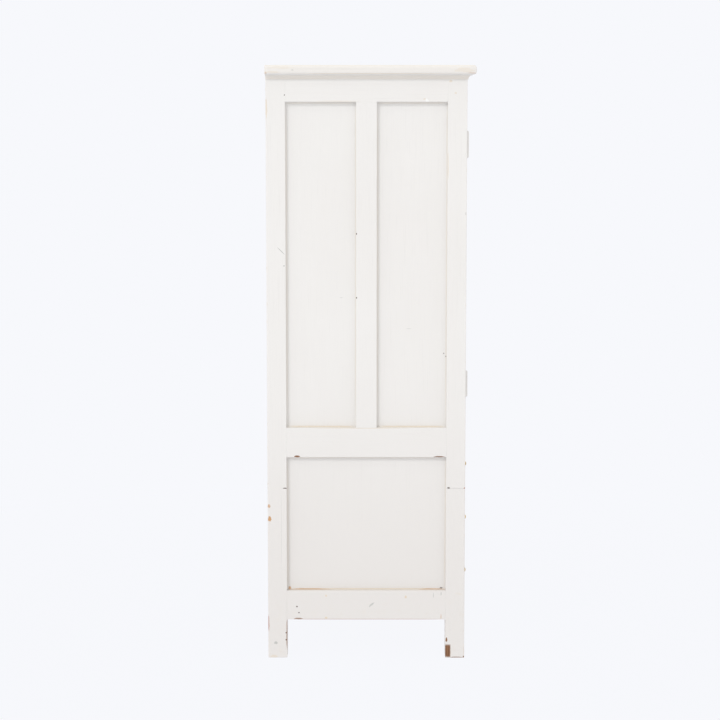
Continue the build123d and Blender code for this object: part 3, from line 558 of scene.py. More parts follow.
@dataclass(frozen=True)
class Board:
    """A plank: a rounded rectangle carried along its grain.

    A point is  core * u + radius * n  in the plank's cross-section, where u is a corner sign, n the way
    its surface faces, and core the half-width less the radius. At each end the section shrinks on a
    quarter circle, and again on the flat end, so the end is rounded too. Each face sinks by a sum of
    two slow sines, as hand-planed wood does.
    """

    low: Vec3
    high: Vec3
    grain: Grain
    radius: float = 0.0012
    corner_radii: tuple[float, float, float, float] | None = None
    end_radius: float | None = None
    corner_wear: tuple[float, float, float, float] = (1.0, 1.0, 1.0, 1.0)
    end_wear: float = 1.0
    waver: float = 0.00025
    pitch: float = 0.045
    seed: int = 0
    steps: tuple[Step, ...] = ()

    ARC = 3
    LEAST_RADIUS = 0.00004

    def shell(self) -> Shell:
        """Works the surface out as whole arrays, rings along the grain by points around."""
        iu, iv, iw = self.grain.value
        low, high = np.array(self.low, float), np.array(self.high, float)
        half = (high - low) / 2
        a, b = half[iu], half[iv]
        limit = 0.45 * min(a, b)
        radii = [min(r, limit) for r in (self.corner_radii or (self.radius,) * 4)]
        end = min(self.end_radius if self.end_radius is not None else self.radius, limit)
        u, v, nu, nv, rj, worn = self._section(a, b, radii)
        w, inset, cap_worn = self._stations(low[iw], high[iw], end, min(a, b))

        centre_u = np.full(len(w), (low[iu] + high[iu]) / 2)
        half_u = np.full(len(w), a)
        for step in self.steps:
            after = w >= step.at - 1e-6 if step.at > low[iw] else w >= low[iw] - 1
            centre_u[after] = (step.low + step.high) / 2
            half_u[after] = (step.high - step.low) / 2

        ring_r = np.maximum(rj[None, :] - inset[:, None], self.LEAST_RADIUS)
        core_u = half_u[:, None] - inset[:, None] - ring_r
        core_v = b - inset[:, None] - ring_r
        face = np.arctan2(nv, nu)
        dip = 0.6 * np.sin(w[:, None] * 17.0 + face * 2 + self.seed * 1.7)
        dip = dip + 0.4 * np.sin(w[:, None] * 53.0 + u * 2.3 + v * 1.1 + self.seed * 0.6)
        sink = self.waver * (0.6 + 0.4 * dip) * (inset[:, None] <= end + 1e-9)
        local_u = centre_u[:, None] + core_u * u + (ring_r - sink) * nu
        local_v = (low[iv] + high[iv]) / 2 + core_v * v + (ring_r - sink) * nv

        points = np.zeros((len(w), len(u), 3))
        points[..., iu] = local_u
        points[..., iv] = local_v
        points[..., iw] = w[:, None]
        plank = np.stack([points[..., iw], points[..., iu], points[..., iv]], -1)
        plank = plank.reshape(-1, 3) + self.seed * np.array([0.731, 0.173, 0.097])
        edge = np.maximum(worn[None, :], self.end_wear * cap_worn[:, None]) * np.ones_like(local_u)
        return Shell(points.reshape(-1, 3), rings_to_faces(len(w), len(u)), plank, edge.ravel())

    def _section(self, a: float, b: float, radii: Sequence[float]) -> tuple[np.ndarray, ...]:
        """The cross-section's points: corner signs, surface directions, radius and wear at each."""
        signs = ((1, 1), (-1, 1), (-1, -1), (1, -1))
        rows: list[tuple[float, ...]] = []
        for index, ((su, sv), radius) in enumerate(zip(signs, radii)):
            after = (index + 1) % 4
            here, there = self.corner_wear[index], self.corner_wear[after]
            for k in range(self.ARC + 1):
                angle = math.pi / 2 * (index + k / self.ARC)
                rows.append((su, sv, math.cos(angle), math.sin(angle), radius, here))
            along_u = index % 2 == 0
            length = a if along_u else b
            angle = math.pi / 2 * (index + 1)
            for distance, wear in (*zip(NEAR_EDGE, NEAR_WEAR), (0.5 * length, 0.0)):
                if distance < 0.62 * length:
                    share = 1 - distance / length
                    rows.append(self._side_point(su, sv, along_u, share, angle, radius, wear * here))
            for distance, wear in zip(NEAR_EDGE[::-1], NEAR_WEAR[::-1]):
                if distance < 0.62 * length:
                    share = distance / length - 1
                    rows.append(self._side_point(su, sv, along_u, share, angle, radii[after], wear * there))
        return tuple(np.array(column, float) for column in zip(*rows))

    @staticmethod
    def _side_point(
        su: int,
        sv: int,
        along_u: bool,
        share: float,
        angle: float,
        radius: float,
        wear: float,
    ) -> tuple[float, ...]:
        """A point on a side of the section, at a share of the way from its middle to the corner."""
        u, v = (su * share, sv) if along_u else (su, sv * share)
        return (u, v, math.cos(angle), math.sin(angle), radius, wear)

    def _stations(self, start: float, stop: float, end: float, reach: float) -> tuple[np.ndarray, ...]:
        """Places along the grain, how far the section shrinks there, and how worn the end is."""
        arc = np.linspace(0, math.pi / 2, self.ARC + 1)
        flat = [d for d in NEAR_EDGE if end + d < 0.7 * reach]
        cap_place = [0.0] * len(flat) + list(end * (1 - np.sin(arc[::-1])))
        cap_inset = [end + d for d in flat[::-1]] + list(end * (1 - np.cos(arc[::-1])))
        cap_wear = list(NEAR_WEAR[: len(flat)])[::-1] + [1.0] * len(arc)
        near = [d for d in NEAR_EDGE if end + d < 0.45 * (stop - start)]
        inner_start = start + end + (near[-1] if near else 0.0)
        inner_stop = stop - end - (near[-1] if near else 0.0)
        count = max(1, int(round((inner_stop - inner_start) / self.pitch)))
        middle = list(np.linspace(inner_start, inner_stop, count + 1)[1:-1])
        near_start = [start + end + d for d in near]
        near_stop = [stop - end - d for d in near[::-1]]
        near_wear = list(NEAR_WEAR[: len(near)])
        first_cap = [start + p for p in cap_place]
        last_cap = [stop - p for p in cap_place[::-1]]
        w = first_cap + near_start + middle + near_stop + last_cap
        inset = cap_inset + [0.0] * (len(near) * 2 + len(middle)) + cap_inset[::-1]
        wear = cap_wear + near_wear + [0.0] * len(middle) + near_wear[::-1] + cap_wear[::-1]
        w_all, inset_all, wear_all = np.array(w), np.array(inset), np.array(wear)
        for step in self.steps:
            if step.at > start:
                place = int(np.searchsorted(w_all, step.at))
                w_all = np.insert(w_all, place, [step.at - 0.0002, step.at])
                inset_all = np.insert(inset_all, place, [0.0, 0.0])
                wear_all = np.insert(wear_all, place, [0.6, 0.6])
        return w_all, inset_all, wear_all


@dataclass(frozen=True)
class CapBoard:
    """The top board: a rounded nose carried round the front and sides, with a square back.

    A point is  core * u + corner * n - inset * u  in plan, where inset grows from 0 at the nose's tip on
    two quarter ellipses to the flats above and below. The back keeps no inset.
    """

    low: Vec3
    high: Vec3
    nose_top: float
    nose_under: float
    plan_corner: float = 0.003

    def shell(self) -> Shell:
        """Works the surface out: rings at each height of the nose, points round the plan."""
        low, high = np.array(self.low), np.array(self.high)
        centre, half = (low + high) / 2, (high - low) / 2
        under = np.linspace(math.pi / 2, 0, 7)
        above = np.linspace(0, math.pi / 2, 7)
        inset = np.concatenate([self.nose_under * (1 - np.cos(under)), self.nose_top * (1 - np.cos(above))])
        z = np.concatenate(
            [
                low[2] + self.nose_under * (1 - np.sin(under)),
                high[2] - self.nose_top * (1 - np.sin(above)),
            ]
        )
        rims = np.array([0.012, 0.05, 0.16])
        inset = np.concatenate([self.nose_under + rims[::-1], inset, self.nose_top + rims])
        z = np.concatenate([np.full(3, low[2]), z, np.full(3, high[2])])
        nose_worn = [np.linspace(0.4, 0.55, 7), np.linspace(0.6, 0.4, 7)]
        worn = np.concatenate([[0, 0, 0.1], *nose_worn, [0.15, 0, 0]])

        signs = ((1, 1), (-1, 1), (-1, -1), (1, -1))
        rows = []
        for index, (su, sv) in enumerate(signs):
            for k in range(4):
                angle = math.pi / 2 * (index + k / 3)
                rows.append((su, sv, math.cos(angle), math.sin(angle)))
            for share in np.linspace(0.94, -0.94, 14 if index % 2 == 0 else 9):
                angle = math.pi / 2 * (index + 1)
                u, v = (su * share, sv) if index % 2 == 0 else (su, sv * share)
                rows.append((u, v, math.cos(angle), math.sin(angle)))
        u, v, nu, nv = (np.array(column)[None, :] for column in zip(*rows))
        into = inset[:, None]
        sway = 0.0004 * np.sin(u * 9 + v * 5) * (into < 0.03)
        x = centre[0] + (half[0] - self.plan_corner - into) * u + (self.plan_corner - np.abs(sway)) * nu
        back_into = np.where(into > 0.02, into - 0.02, 0.0)
        depth_in = np.where(v > 0, back_into, into)
        y = centre[1] + (half[1] - self.plan_corner - depth_in) * v + (self.plan_corner - np.abs(sway)) * nv
        height = z[:, None] + 0 * x
        points = np.stack([x, y, height], -1)
        plank = np.stack([x, y, height], -1).reshape(-1, 3)
        edge = worn[:, None] * np.where(v > 0.99, 0.5, 1.0)
        return Shell(points.reshape(-1, 3), rings_to_faces(len(z), x.shape[1]), plank, (edge + 0 * x).ravel())


@dataclass(frozen=True)
class Cove:
    """The cornice moulding: a hollow profile carried along both sides and the front, mitred.

    A point is  base + out * direction, at the profile's height, where direction is (-1, 0) on the left
    side, (0, -1) on the front, (1, 0) on the right, and the sum of two of them at a mitre.
    """

    left: float
    right: float
    front: float
    back: float
    bottom: float
    size: float
    lip: float = 0.002

    def shell(self) -> Shell:
        """Works the surface out: rings along the cabinet, points round the profile."""
        turn = np.linspace(0, math.pi / 2, 9)
        hollow = self.size - self.lip
        out = np.concatenate([[0, self.lip], self.lip + hollow * (1 - np.cos(turn))[1:], [self.size, 0]])
        up = np.concatenate([[0, 0], hollow * np.sin(turn)[1:], [self.size, self.size]])
        worn = np.concatenate([[0.2, 0.7], np.full(7, 0.1), [0.6, 0.3, 0.0]])
        side = np.linspace(self.back, self.front, 12)
        across = np.linspace(self.left, self.right, 20)
        base = [(self.left, y, -1.0, 0.0) for y in side[:-1]]
        base += [(self.left, self.front, -1.0, -1.0)]
        base += [(x, self.front, 0.0, -1.0) for x in across[1:-1]]
        base += [(self.right, self.front, 1.0, -1.0)]
        base += [(self.right, y, 1.0, 0.0) for y in side[-2::-1]]
        rows = np.array(base)
        x = rows[:, 0:1] + rows[:, 2:3] * out
        y = rows[:, 1:2] + rows[:, 3:4] * out
        z = self.bottom + up + 0 * x
        points = np.stack([x, y, z], -1)
        run = np.cumsum(np.r_[0, np.hypot(np.diff(rows[:, 0]), np.diff(rows[:, 1]))])
        plank = np.stack([run[:, None] + 0 * x, out + 0 * x, up + 0 * x], -1).reshape(-1, 3)
        edge = np.tile(worn, len(rows))
        faces = [face[::-1] for face in rings_to_faces(len(rows), len(out))]
        return Shell(points.reshape(-1, 3), faces, plank, edge)


@dataclass(frozen=True)
class Pane:
    """Drawn window glass: a thin sheet whose two faces sway by a sum of slow sines."""

    low: Vec3
    high: Vec3
    sway: float = 0.00035
    seed: int = 0
    columns: int = 25
    rows: int = 21

    def shell(self) -> Shell:
        """Works the surface out: a grid wrapped round front, edge, back and edge, closed at its ends."""
        low, high = np.array(self.low), np.array(self.high)
        x = np.linspace(low[0], high[0], self.columns)
        around_x = np.concatenate([x, x[::-1]])
        face = np.concatenate([np.zeros(self.columns), np.ones(self.columns)])
        z = np.linspace(low[2], high[2], self.rows)
        grid_x, grid_z = around_x[None, :] + 0 * z[:, None], z[:, None] + 0 * around_x[None, :]
        wave = np.sin(grid_x * 31 + self.seed) * np.sin(grid_z * 22 + self.seed * 2.1)
        wave = wave + 0.5 * np.sin(grid_x * 70 + grid_z * 41 + self.seed)
        from_sides = np.minimum(grid_x - low[0], high[0] - grid_x)
        border = np.minimum(from_sides, np.minimum(grid_z - low[2], high[2] - grid_z))
        inward = np.clip(wave * self.sway * 0.6, -self.sway, self.sway) * np.clip(border / 0.02, 0, 1)
        y = low[1] + (high[1] - low[1]) * face[None, :] + inward
        points = np.stack([grid_x, y, grid_z], -1).reshape(-1, 3)
        count = 2 * self.columns
        return Shell(points, rings_to_faces(self.rows, count), points.copy(), np.zeros(len(points)))


@dataclass(frozen=True)
class TailedSide:
    """A drawer's side board with dovetails on its front end: an outline carried through its thickness."""

    low: Vec3
    high: Vec3
    tail_length: float
    tail_root: float
    tail_tip: float
    tails: int = 3
    bevel: float = 0.0004
    seed: int = 0

    def shell(self) -> Shell:
        """Works the surface out: the outline at four places through the board, then triangulated caps."""
        low, high = np.array(self.low), np.array(self.high)
        pitch = (high[2] - low[2]) / self.tails
        middles = low[2] + (np.arange(self.tails) + 0.5) * pitch
        tip = low[1] - self.tail_length
        corners = (
            (low[1], -self.tail_root / 2),
            (tip, -self.tail_tip / 2),
            (tip, self.tail_tip / 2),
            (low[1], self.tail_root / 2),
        )
        tails = [[(y, m + dz) for y, dz in corners] for m in middles[::-1]]
        outline = [(low[1], low[2]), (high[1], low[2]), (high[1], high[2]), (low[1], high[2])]
        outline += [point for tail in tails for point in tail[::-1]]
        ring = np.array(outline)
        x = np.array([low[0], low[0] + self.bevel, high[0] - self.bevel, high[0]])
        points = np.zeros((4, len(ring), 3))
        points[..., 0] = x[:, None]
        points[..., 1:] = ring[None]
        plank = np.stack([points[..., 1], points[..., 2], points[..., 0]], -1).reshape(-1, 3)
        plank = plank + self.seed * np.array([0.731, 0.173, 0.097])
        edge = np.tile(np.where(ring[:, 0] > low[1] + 0.01, 0.5, 0.2), 4)
        return Shell(points.reshape(-1, 3), rings_to_faces(4, len(ring)), plank, edge)


# ---------------------------------------------------------------- marks in the paint
SIDE = -0.5  # the outer face of the left posts and rails
PANEL = -0.485  # the outer face of the left panels
CAP = -0.526  # the left edge of the top board
COVE_FACE = -0.507  # the middle of the cornice moulding's reach
MARK_DEPTH = 0.006  # how deep a mark goes, either way of its face


def mark(
    flaw: Flaw, y: float, z: float, half_y: float, half_z: float, x: float = SIDE, **more: float
) -> Mark:
    """A mark on a face that looks along X.

    Args:
        flaw: what it shows.
        y: its centre's distance from the middle of the cabinet, positive towards the back.
        z: its centre's height.
        half_y: its half-width.
        half_z: its half-height.
        x: the face it is on.
        more: the mark's strength, tilt and raggedness.

    Returns:
        The mark.
    """
    return Mark(flaw, (x, y, z), (MARK_DEPTH, half_y, half_z), **more)


FRONT_LEG_MARKS = (
    mark(Flaw.BARE, -0.2365, 0.021, 0.0102, 0.0215, ragged=0.12, square=True),
    mark(Flaw.BARE, -0.2335, 0.056, 0.003, 0.0075),
    mark(Flaw.BARE, -0.264, 0.0005, 0.023, 0.0026, strength=0.75, ragged=0.5),
    mark(Flaw.BARE, -0.2865, 0.003, 0.003, 0.003, strength=0.9),
    mark(Flaw.AMBER, -0.2885, 0.02, 0.0018, 0.02, strength=0.5),
    mark(Flaw.STAIN_AND_SHADE, -0.27, 0.2, 0.012, 0.004, strength=0.12, tilt=12),
)
FRONT_POST_MARKS = (
    mark(Flaw.DIRT, -0.2228, 0.709, 0.0022, 0.0022, strength=0.7),
    mark(Flaw.SMEAR, -0.285, 1.36, 0.001, 0.005, strength=0.8),
    mark(Flaw.STAIN_AND_SHADE, -0.238, 1.753, 0.005, 0.004, strength=0.5),
    mark(Flaw.STAIN_AND_SHADE, -0.253, 1.718, 0.004, 0.003, strength=0.45),
    mark(Flaw.STAIN_AND_SHADE, -0.2315, 1.5, 0.002, 0.043, strength=0.35),
    mark(Flaw.SMEAR, -0.262, 0.5275, 0.03, 0.0009, strength=0.2, ragged=0.2),
    mark(Flaw.DIRT, -0.2375, 0.5285, 0.0048, 0.0024, strength=0.9),
    mark(Flaw.PINK, -0.2864, 0.5275, 0.0035, 0.0028),
)
BACK_LEG_MARKS = (
    mark(Flaw.BARE, 0.2545, 0.07, 0.0022, 0.05, strength=0.85, ragged=0.5),
    mark(Flaw.DIRT, 0.257, 0.056, 0.003, 0.0022),
    mark(Flaw.DIRT, 0.257, 0.078, 0.003, 0.0018),
    mark(Flaw.SMEAR, 0.289, 0.0465, 0.006, 0.0045, strength=0.7),
    mark(Flaw.PINK, 0.3105, 0.106, 0.0022, 0.026, strength=0.8),
    mark(Flaw.STAIN_AND_SHADE, 0.295, 0.004, 0.012, 0.005, strength=0.4),
    mark(Flaw.AMBER, 0.308, 0.472, 0.0045, 0.006, strength=0.75),
    mark(Flaw.AMBER, 0.306, 0.4325, 0.0055, 0.0085, strength=0.95),
    mark(Flaw.DIRT, 0.2585, 0.5275, 0.0078, 0.0017, strength=0.9, ragged=0.3),
    mark(Flaw.SMEAR, 0.2705, 0.4, 0.0008, 0.126, strength=0.28, ragged=0.25),
    mark(Flaw.SMEAR, 0.268, 1.249, 0.0165, 0.0011, strength=0.85, tilt=45, ragged=0.3),
    mark(Flaw.SMEAR, 0.259, 1.204, 0.0025, 0.0018),
    mark(Flaw.STAIN_AND_SHADE, 0.31, 1.671, 0.0035, 0.03, strength=0.5),
    mark(Flaw.DIRT, 0.2555, 1.712, 0.002, 0.002, strength=0.8),
)
BOTTOM_RAIL_MARKS = (
    mark(Flaw.DIRT, 0.224, 0.160, 0.0026, 0.0024),
    mark(Flaw.DIRT, 0.218, 0.141, 0.0022, 0.002),
    mark(Flaw.BARE, 0.22, 0.1225, 0.0145, 0.0026, strength=0.75, ragged=0.6),
    mark(Flaw.STAIN_AND_SHADE, 0.135, 0.194, 0.0035, 0.0035, strength=0.6),
    mark(Flaw.STAIN_AND_SHADE, 0.135, 0.125, 0.0045, 0.003, strength=0.8),
    mark(Flaw.STAIN_AND_SHADE, -0.1085, 0.19, 0.0035, 0.0045, strength=0.8),
    mark(Flaw.SMEAR, -0.004, 0.166, 0.011, 0.003, strength=0.6, tilt=-40),
    mark(Flaw.SMEAR, -0.193, 0.195, 0.0012, 0.0085, strength=0.6),
    mark(Flaw.SMEAR, -0.2165, 0.2, 0.0014, 0.006, strength=0.75),
    mark(Flaw.AMBER, -0.2165, 0.129, 0.0013, 0.008, strength=0.6),
    mark(Flaw.PINK, 0.01, 0.1195, 0.24, 0.0022, strength=0.75, ragged=0.3, square=True),
)
WAIST_RAIL_MARKS = (
    mark(Flaw.BARE, 0.222, 0.6255, 0.0095, 0.003, ragged=0.5),
    mark(Flaw.BARE, -0.208, 0.6245, 0.018, 0.002, strength=0.9, ragged=0.8),
    mark(Flaw.STAIN_AND_SHADE, 0.03, 0.712, 0.15, 0.0015, strength=0.35),
)
TOP_RAIL_MARKS = (
    mark(Flaw.FILLER, -0.168, 1.6945, 0.005, 0.0075, tilt=-20, ragged=0.6),
    mark(Flaw.STAIN_AND_SHADE, -0.161, 1.7, 0.005, 0.003, strength=0.35),
    mark(Flaw.STAIN_AND_SHADE, 0.1, 1.694, 0.07, 0.0013, strength=0.3),
)
MUNTIN_MARKS = (
    mark(Flaw.DIRT, 0.0415, 1.3, 0.0016, 0.0028),
    mark(Flaw.DIRT, 0.0415, 1.108, 0.0016, 0.0028),
)
PANEL_MARKS = (
    mark(Flaw.AMBER, 0.19, 0.2112, 0.065, 0.0026, x=PANEL, strength=0.6, ragged=0.9),
    mark(Flaw.AMBER, -0.19, 0.2112, 0.045, 0.0024, x=PANEL, strength=0.55, ragged=0.9),
    mark(Flaw.AMBER, 0.246, 0.215, 0.0045, 0.005, x=PANEL, strength=0.8),
    mark(Flaw.DIRT, -0.217, 0.215, 0.005, 0.0022, x=PANEL, strength=0.8),
    mark(Flaw.SMEAR, 0.0876, 1.107, 0.006, 0.0012, x=PANEL, strength=0.3),
    mark(Flaw.SMEAR, -0.116, 1.013, 0.009, 0.001, x=PANEL, strength=0.35),
    mark(Flaw.DIRT, -0.2215, 0.938, 0.0022, 0.0022, x=PANEL, strength=0.6),
    mark(Flaw.DIRT, -0.2277, 0.929, 0.002, 0.002, x=PANEL, strength=0.6),
)


def recess_stain_and_shade(y: Pair, z: Pair) -> tuple[Mark, ...]:
    """Yellowing and painted shade along the four edges of a recessed panel, strongest along its lower edge.

    Args:
        y: the panel's two upright edges.
        z: its lower and upper edge.

    Returns:
        Four soft bands.
    """
    mid_y, mid_z, half_y, half_z = sum(y) / 2, sum(z) / 2, (y[1] - y[0]) / 2, (z[1] - z[0]) / 2
    soft = {"x": PANEL, "ragged": 0.35, "square": True}
    return (
        mark(Flaw.STAIN_AND_SHADE, y[1], mid_z, 0.006, half_z, strength=0.18, **soft),
        mark(Flaw.STAIN_AND_SHADE, y[0], mid_z, 0.004, half_z, strength=0.22, **soft),
        mark(Flaw.STAIN_AND_SHADE, mid_y, z[1], half_y, 0.007, strength=0.22, **soft),
        mark(Flaw.STAIN_AND_SHADE, mid_y, z[0], half_y, 0.0045, strength=0.5, **soft),
    )


CAP_MARKS = (
    mark(Flaw.STAIN_AND_SHADE, 0.268, 1.7925, 0.046, 0.0045, x=CAP, strength=0.26, ragged=0.9),
    mark(Flaw.STAIN_AND_SHADE, 0.29, 1.779, 0.026, 0.003, x=CAP, strength=0.35, ragged=0.9),
    mark(Flaw.SMEAR, 0.231, 1.785, 0.004, 0.003, x=CAP, strength=0.3),
    mark(Flaw.AMBER, 0.3105, 1.7765, 0.004, 0.004, x=CAP, strength=0.35),
    mark(Flaw.STAIN_AND_SHADE, -0.276, 1.785, 0.032, 0.0075, x=CAP, strength=0.32, ragged=0.8),
    mark(Flaw.AMBER, -0.3, 1.777, 0.014, 0.003, x=CAP, strength=0.22, ragged=0.9),
    # A darker, warmer band along the whole underside of the nose: painted shade.
    mark(Flaw.STAIN_AND_SHADE, 0.0, 1.7745, 0.29, 0.0022, x=CAP, strength=0.4, ragged=0.5),
    mark(Flaw.SMEAR, 0.1, 1.789, 0.16, 0.0035, x=CAP, strength=0.05, ragged=0.6),
    mark(Flaw.STAIN_AND_SHADE, 0.0, 1.786, 0.4, 0.016, x=CAP, strength=0.1, ragged=0.2, square=True),
)
CORNICE_SHADE_MARKS = (
    # A warm, darker tint over the whole cove on the left side: painted shade under the top board.
    mark(Flaw.STAIN_AND_SHADE, 0.0, 1.765, 0.4, 0.012, x=COVE_FACE, strength=0.28, ragged=0.3, square=True),
)


# ---------------------------------------------------------------- the workshop
@dataclass(frozen=True)
class Sizes:
    """The sizes that several assemblies share, in metres."""

    half_width: float = 0.5
    front: float = -0.288
    back: float = 0.312
    post: float = 0.058
    top: float = 1.772
    side_thickness: float = 0.034
    bottom_rail: Pair = (0.120, 0.210)
    waist_rail: Pair = (0.623, 0.713)
    top_rail: Pair = (1.692, 1.772)
    front_bottom_high: float = 0.180
    front_waist_low: float = 0.668
    shelf_tops: tuple[float, ...] = (0.958, 1.203, 1.448)
    board: float = 0.018
    back_board: float = 0.012
    back_rail: float = 0.024

    @property
    def inner(self) -> float:
        """Distance from the middle to the posts' inner faces."""
        return self.half_width - self.post

    @property
    def side_inner(self) -> float:
        """Distance from the middle to the side rails' inner faces."""
        return self.half_width - self.side_thickness

    @property
    def post_front(self) -> float:
        """The front posts' back face."""
        return self.front + self.post

    @property
    def post_back(self) -> float:
        """The back posts' front face."""
        return self.back - self.post

    @property
    def board_face(self) -> float:
        """The back boards' front face."""
        return self.back - self.back_board

    @property
    def back_rail_face(self) -> float:
        """The back rails' front face."""
        return self.board_face - self.back_rail


SIZES = Sizes()
CRISP = 0.00025  # radius of an edge that is flush with its neighbour
EASED = 0.0016  # radius of an outer corner


class Workshop:
    """Holds the finishes and turns shells into pieces of the cabinet."""

    def __init__(self) -> None:
        """Makes the finishes that many pieces share."""
        self.paint = WornPaint().material("paint")
        self.drawer_paint = WornPaint(wear=0.32, paint_to=-0.2868).material("drawer_paint")
        self.bare = BareWood().material("bare_wood")
        pine = BareWood((0.62, 0.42, 0.24), (0.38, 0.22, 0.11), (0.45, 0.36, 0.25), 0.014)
        self.pine = pine.material("pine")
        self.brass = AgedBrass().material("aged_brass")
        self.painted_metal = WornPaint(on_metal=True).material("painted_metal")
        self.bare_stops = BareWood(by_place=True).material("bare_door_stops")
        self.glass = OldGlass().material("old_glass")

    def painted(
        self,
        name: str,
        boards: Sequence[Any],
        nodes: Sequence[str],
        marks: tuple[Mark, ...] = (),
        body: str = "carcass",
    ) -> None:
        """Makes a painted piece; one with marks gets its own mix of the paint."""
        finish = WornPaint(marks=marks).material(f"paint_{name}") if marks else self.paint
        self.fit(name, boards, finish, "painted_wood", nodes, body)

    def fit(
        self,
        name: str,
        boards: Sequence[Any],
        finish: bpy.types.Material,
        slot: str,
        nodes: Sequence[str],
        body: str = "carcass",
    ) -> None:
        """Makes one piece from surfaces that have a shell.

        Args:
            name: the piece's name.
            boards: the surfaces.
            finish: their material.
            slot: the piece's material slot; not used.
            nodes: the frame's nodes that the piece replaces.
            body: the moving body that it rides on.
        """
        Shell.join(board.shell() for board in boards).piece(name, finish, body, slot, nodes)


def span(a: float, b: float) -> Pair:
    """Two places in rising order."""
    return (a, b) if a < b else (b, a)


def plank_between(x: Pair, y: Pair, z: Pair, grain: Grain, **more: Any) -> Board:
    """A board between three pairs of places, in any order.

    Args:
        x: its two ends along X.
        y: its two ends along Y.
        z: its two ends along Z.
        grain: the way its grain runs.
        more: the board's other fields.

    Returns:
        The board.
    """
    xs, ys, zs = span(*x), span(*y), span(*z)
    return Board((xs[0], ys[0], zs[0]), (xs[1], ys[1], zs[1]), grain, **more)


# ---------------------------------------------------------------- carcass
@dataclass(frozen=True)
class SideFrame:
    """One side: two posts, three rails, a muntin and three panels. The left front leg is spliced."""

    side: str
    sign: int
    sizes: Sizes = SIZES
    muntin: float = 0.062
    recess: float = 0.015
    panel: float = 0.012
    groove: float = 0.008
    splice: float = 0.526
    lap: float = 0.120
    strip: Vec3 = (0.008, 0.018, 0.250)

    def build(self, shop: Workshop) -> None:
        """Makes the frame's pieces."""
        self._front_post(shop)
        self._back_post(shop)
        self._rails(shop)
        self._muntin(shop)
        self._panels(shop)

    def _marks(self, marks: tuple[Mark, ...]) -> tuple[Mark, ...]:
        """The marks are on the left side only."""
        return marks if self.sign < 0 else ()

    def _corner(self, sharp: float, eased: float, front: bool) -> tuple[float, ...]:
        """One value for each corner of a post: eased at its outer corner, and sharp at the rest."""
        outer = {(1, False): 0, (-1, False): 1, (-1, True): 2, (1, True): 3}[(self.sign, front)]
        return tuple(eased if index == outer else sharp for index in range(4))

    def _post(self, front: bool, low: float, high: float, **more: Any) -> Board:
        """A post, or a length of one, between two heights."""
        s = self.sizes
        x = (self.sign * s.half_width, self.sign * s.inner)
        y = (s.front, s.post_front) if front else (s.back, s.post_back)
        looks = {
            "corner_radii": self._corner(CRISP, EASED, front),
            "corner_wear": self._corner(0.3, 0.85, front),
            "end_radius": 0.0012,
            "end_wear": 0.8,
            "waver": 0.0001,
        }
        return plank_between(x, y, (low, high), Grain.ALONG_Z, **{**looks, **more})

    def _front_post(self, shop: Workshop) -> None:
        """The front post; on the left it ends in a lap over a new leg."""
        s, name = self.sizes, f"{self.side}_front_post"
        if self.sign > 0:
            shop.painted(name, [self._post(True, 0.0, s.top, seed=3)], [name])
            return
        outer, middle, inner = -s.half_width, -s.half_width + s.post / 2, -s.inner
        thin = {"end_radius": 0.0003, "end_wear": 0.2}
        halves = (Step(self.splice, outer, middle), Step(self.splice + self.lap, outer, inner))
        upper = self._post(True, self.splice, s.top, steps=halves, seed=4, **thin)
        shop.painted(name, [upper], [name], FRONT_POST_MARKS)
        halves = (Step(0.0, outer, inner), Step(self.splice, middle, inner))
        leg = self._post(True, 0.0, self.splice + self.lap, steps=halves, seed=5, **thin)
        shop.painted("left_front_leg_splice", [leg], ["left_front_leg_splice"], FRONT_LEG_MARKS)

    def _back_post(self, shop: Workshop) -> None:
        """The back post; the left one has a strip let into its outer corner."""
        s, name = self.sizes, f"{self.side}_back_post"
        boards = [self._post(False, 0.0, s.top, seed=6 + self.sign)]
        if self.sign < 0:
            depth, width, length = self.strip
            proud = 0.00008
            x = (-s.half_width - proud, -s.half_width + depth)
            y = (s.post_back, s.post_back + width)
            z = (self.splice - length, self.splice)
            looks = {"radius": 0.0003, "corner_wear": (0.1,) * 4, "end_wear": 0.1, "waver": 0.0}
            boards.append(plank_between(x, y, z, Grain.ALONG_Z, seed=9, **looks))
        shop.painted(name, boards, [name], self._marks(BACK_LEG_MARKS))

    def _rails(self, shop: Workshop) -> None:
        """The three rails between the posts."""
        s = self.sizes
        rails = {
            "bottom_rail": (s.bottom_rail, BOTTOM_RAIL_MARKS),
            "waist_rail": (s.waist_rail, WAIST_RAIL_MARKS),
            "top_rail": (s.top_rail, TOP_RAIL_MARKS),
        }
        for index, (kind, (heights, marks)) in enumerate(rails.items()):
            name = f"{self.side}_{kind}"
            x = (self.sign * s.half_width, self.sign * s.side_inner)
            looks = {"radius": CRISP, "end_radius": 0.00005, "end_wear": 0.0, "waver": 0.0001}
            # Its upper and lower outer edges are rubbed, except under the cornice.
            wear = (0.5, 0.5, 0.5, 0.5) if kind != "top_rail" else (0.4, 0.0, 0.4, 0.0)
            y = (s.post_front, s.post_back)
            rail = plank_between(x, y, heights, Grain.ALONG_Y, corner_wear=wear, seed=11 + index, **looks)
            shop.painted(name, [rail], [name], self._marks(marks))

    @property
    def _muntin_span(self) -> Pair:
        """The muntin's two edges."""
        middle = (self.sizes.front + self.sizes.back) / 2
        return middle - self.muntin / 2, middle + self.muntin / 2

    def _muntin(self, shop: Workshop) -> None:
        """The upright between the two upper panels."""
        s, name = self.sizes, f"{self.side}_muntin"
        x = (self.sign * s.half_width, self.sign * s.side_inner)
        z = (s.waist_rail[1], s.top_rail[0])
        looks = {"radius": CRISP, "corner_wear": (0.35,) * 4, "end_radius": 0.00005, "end_wear": 0.0}
        board = plank_between(x, self._muntin_span, z, Grain.ALONG_Z, seed=15, waver=0.0001, **looks)
        shop.painted(name, [board], [name], self._marks(MUNTIN_MARKS))

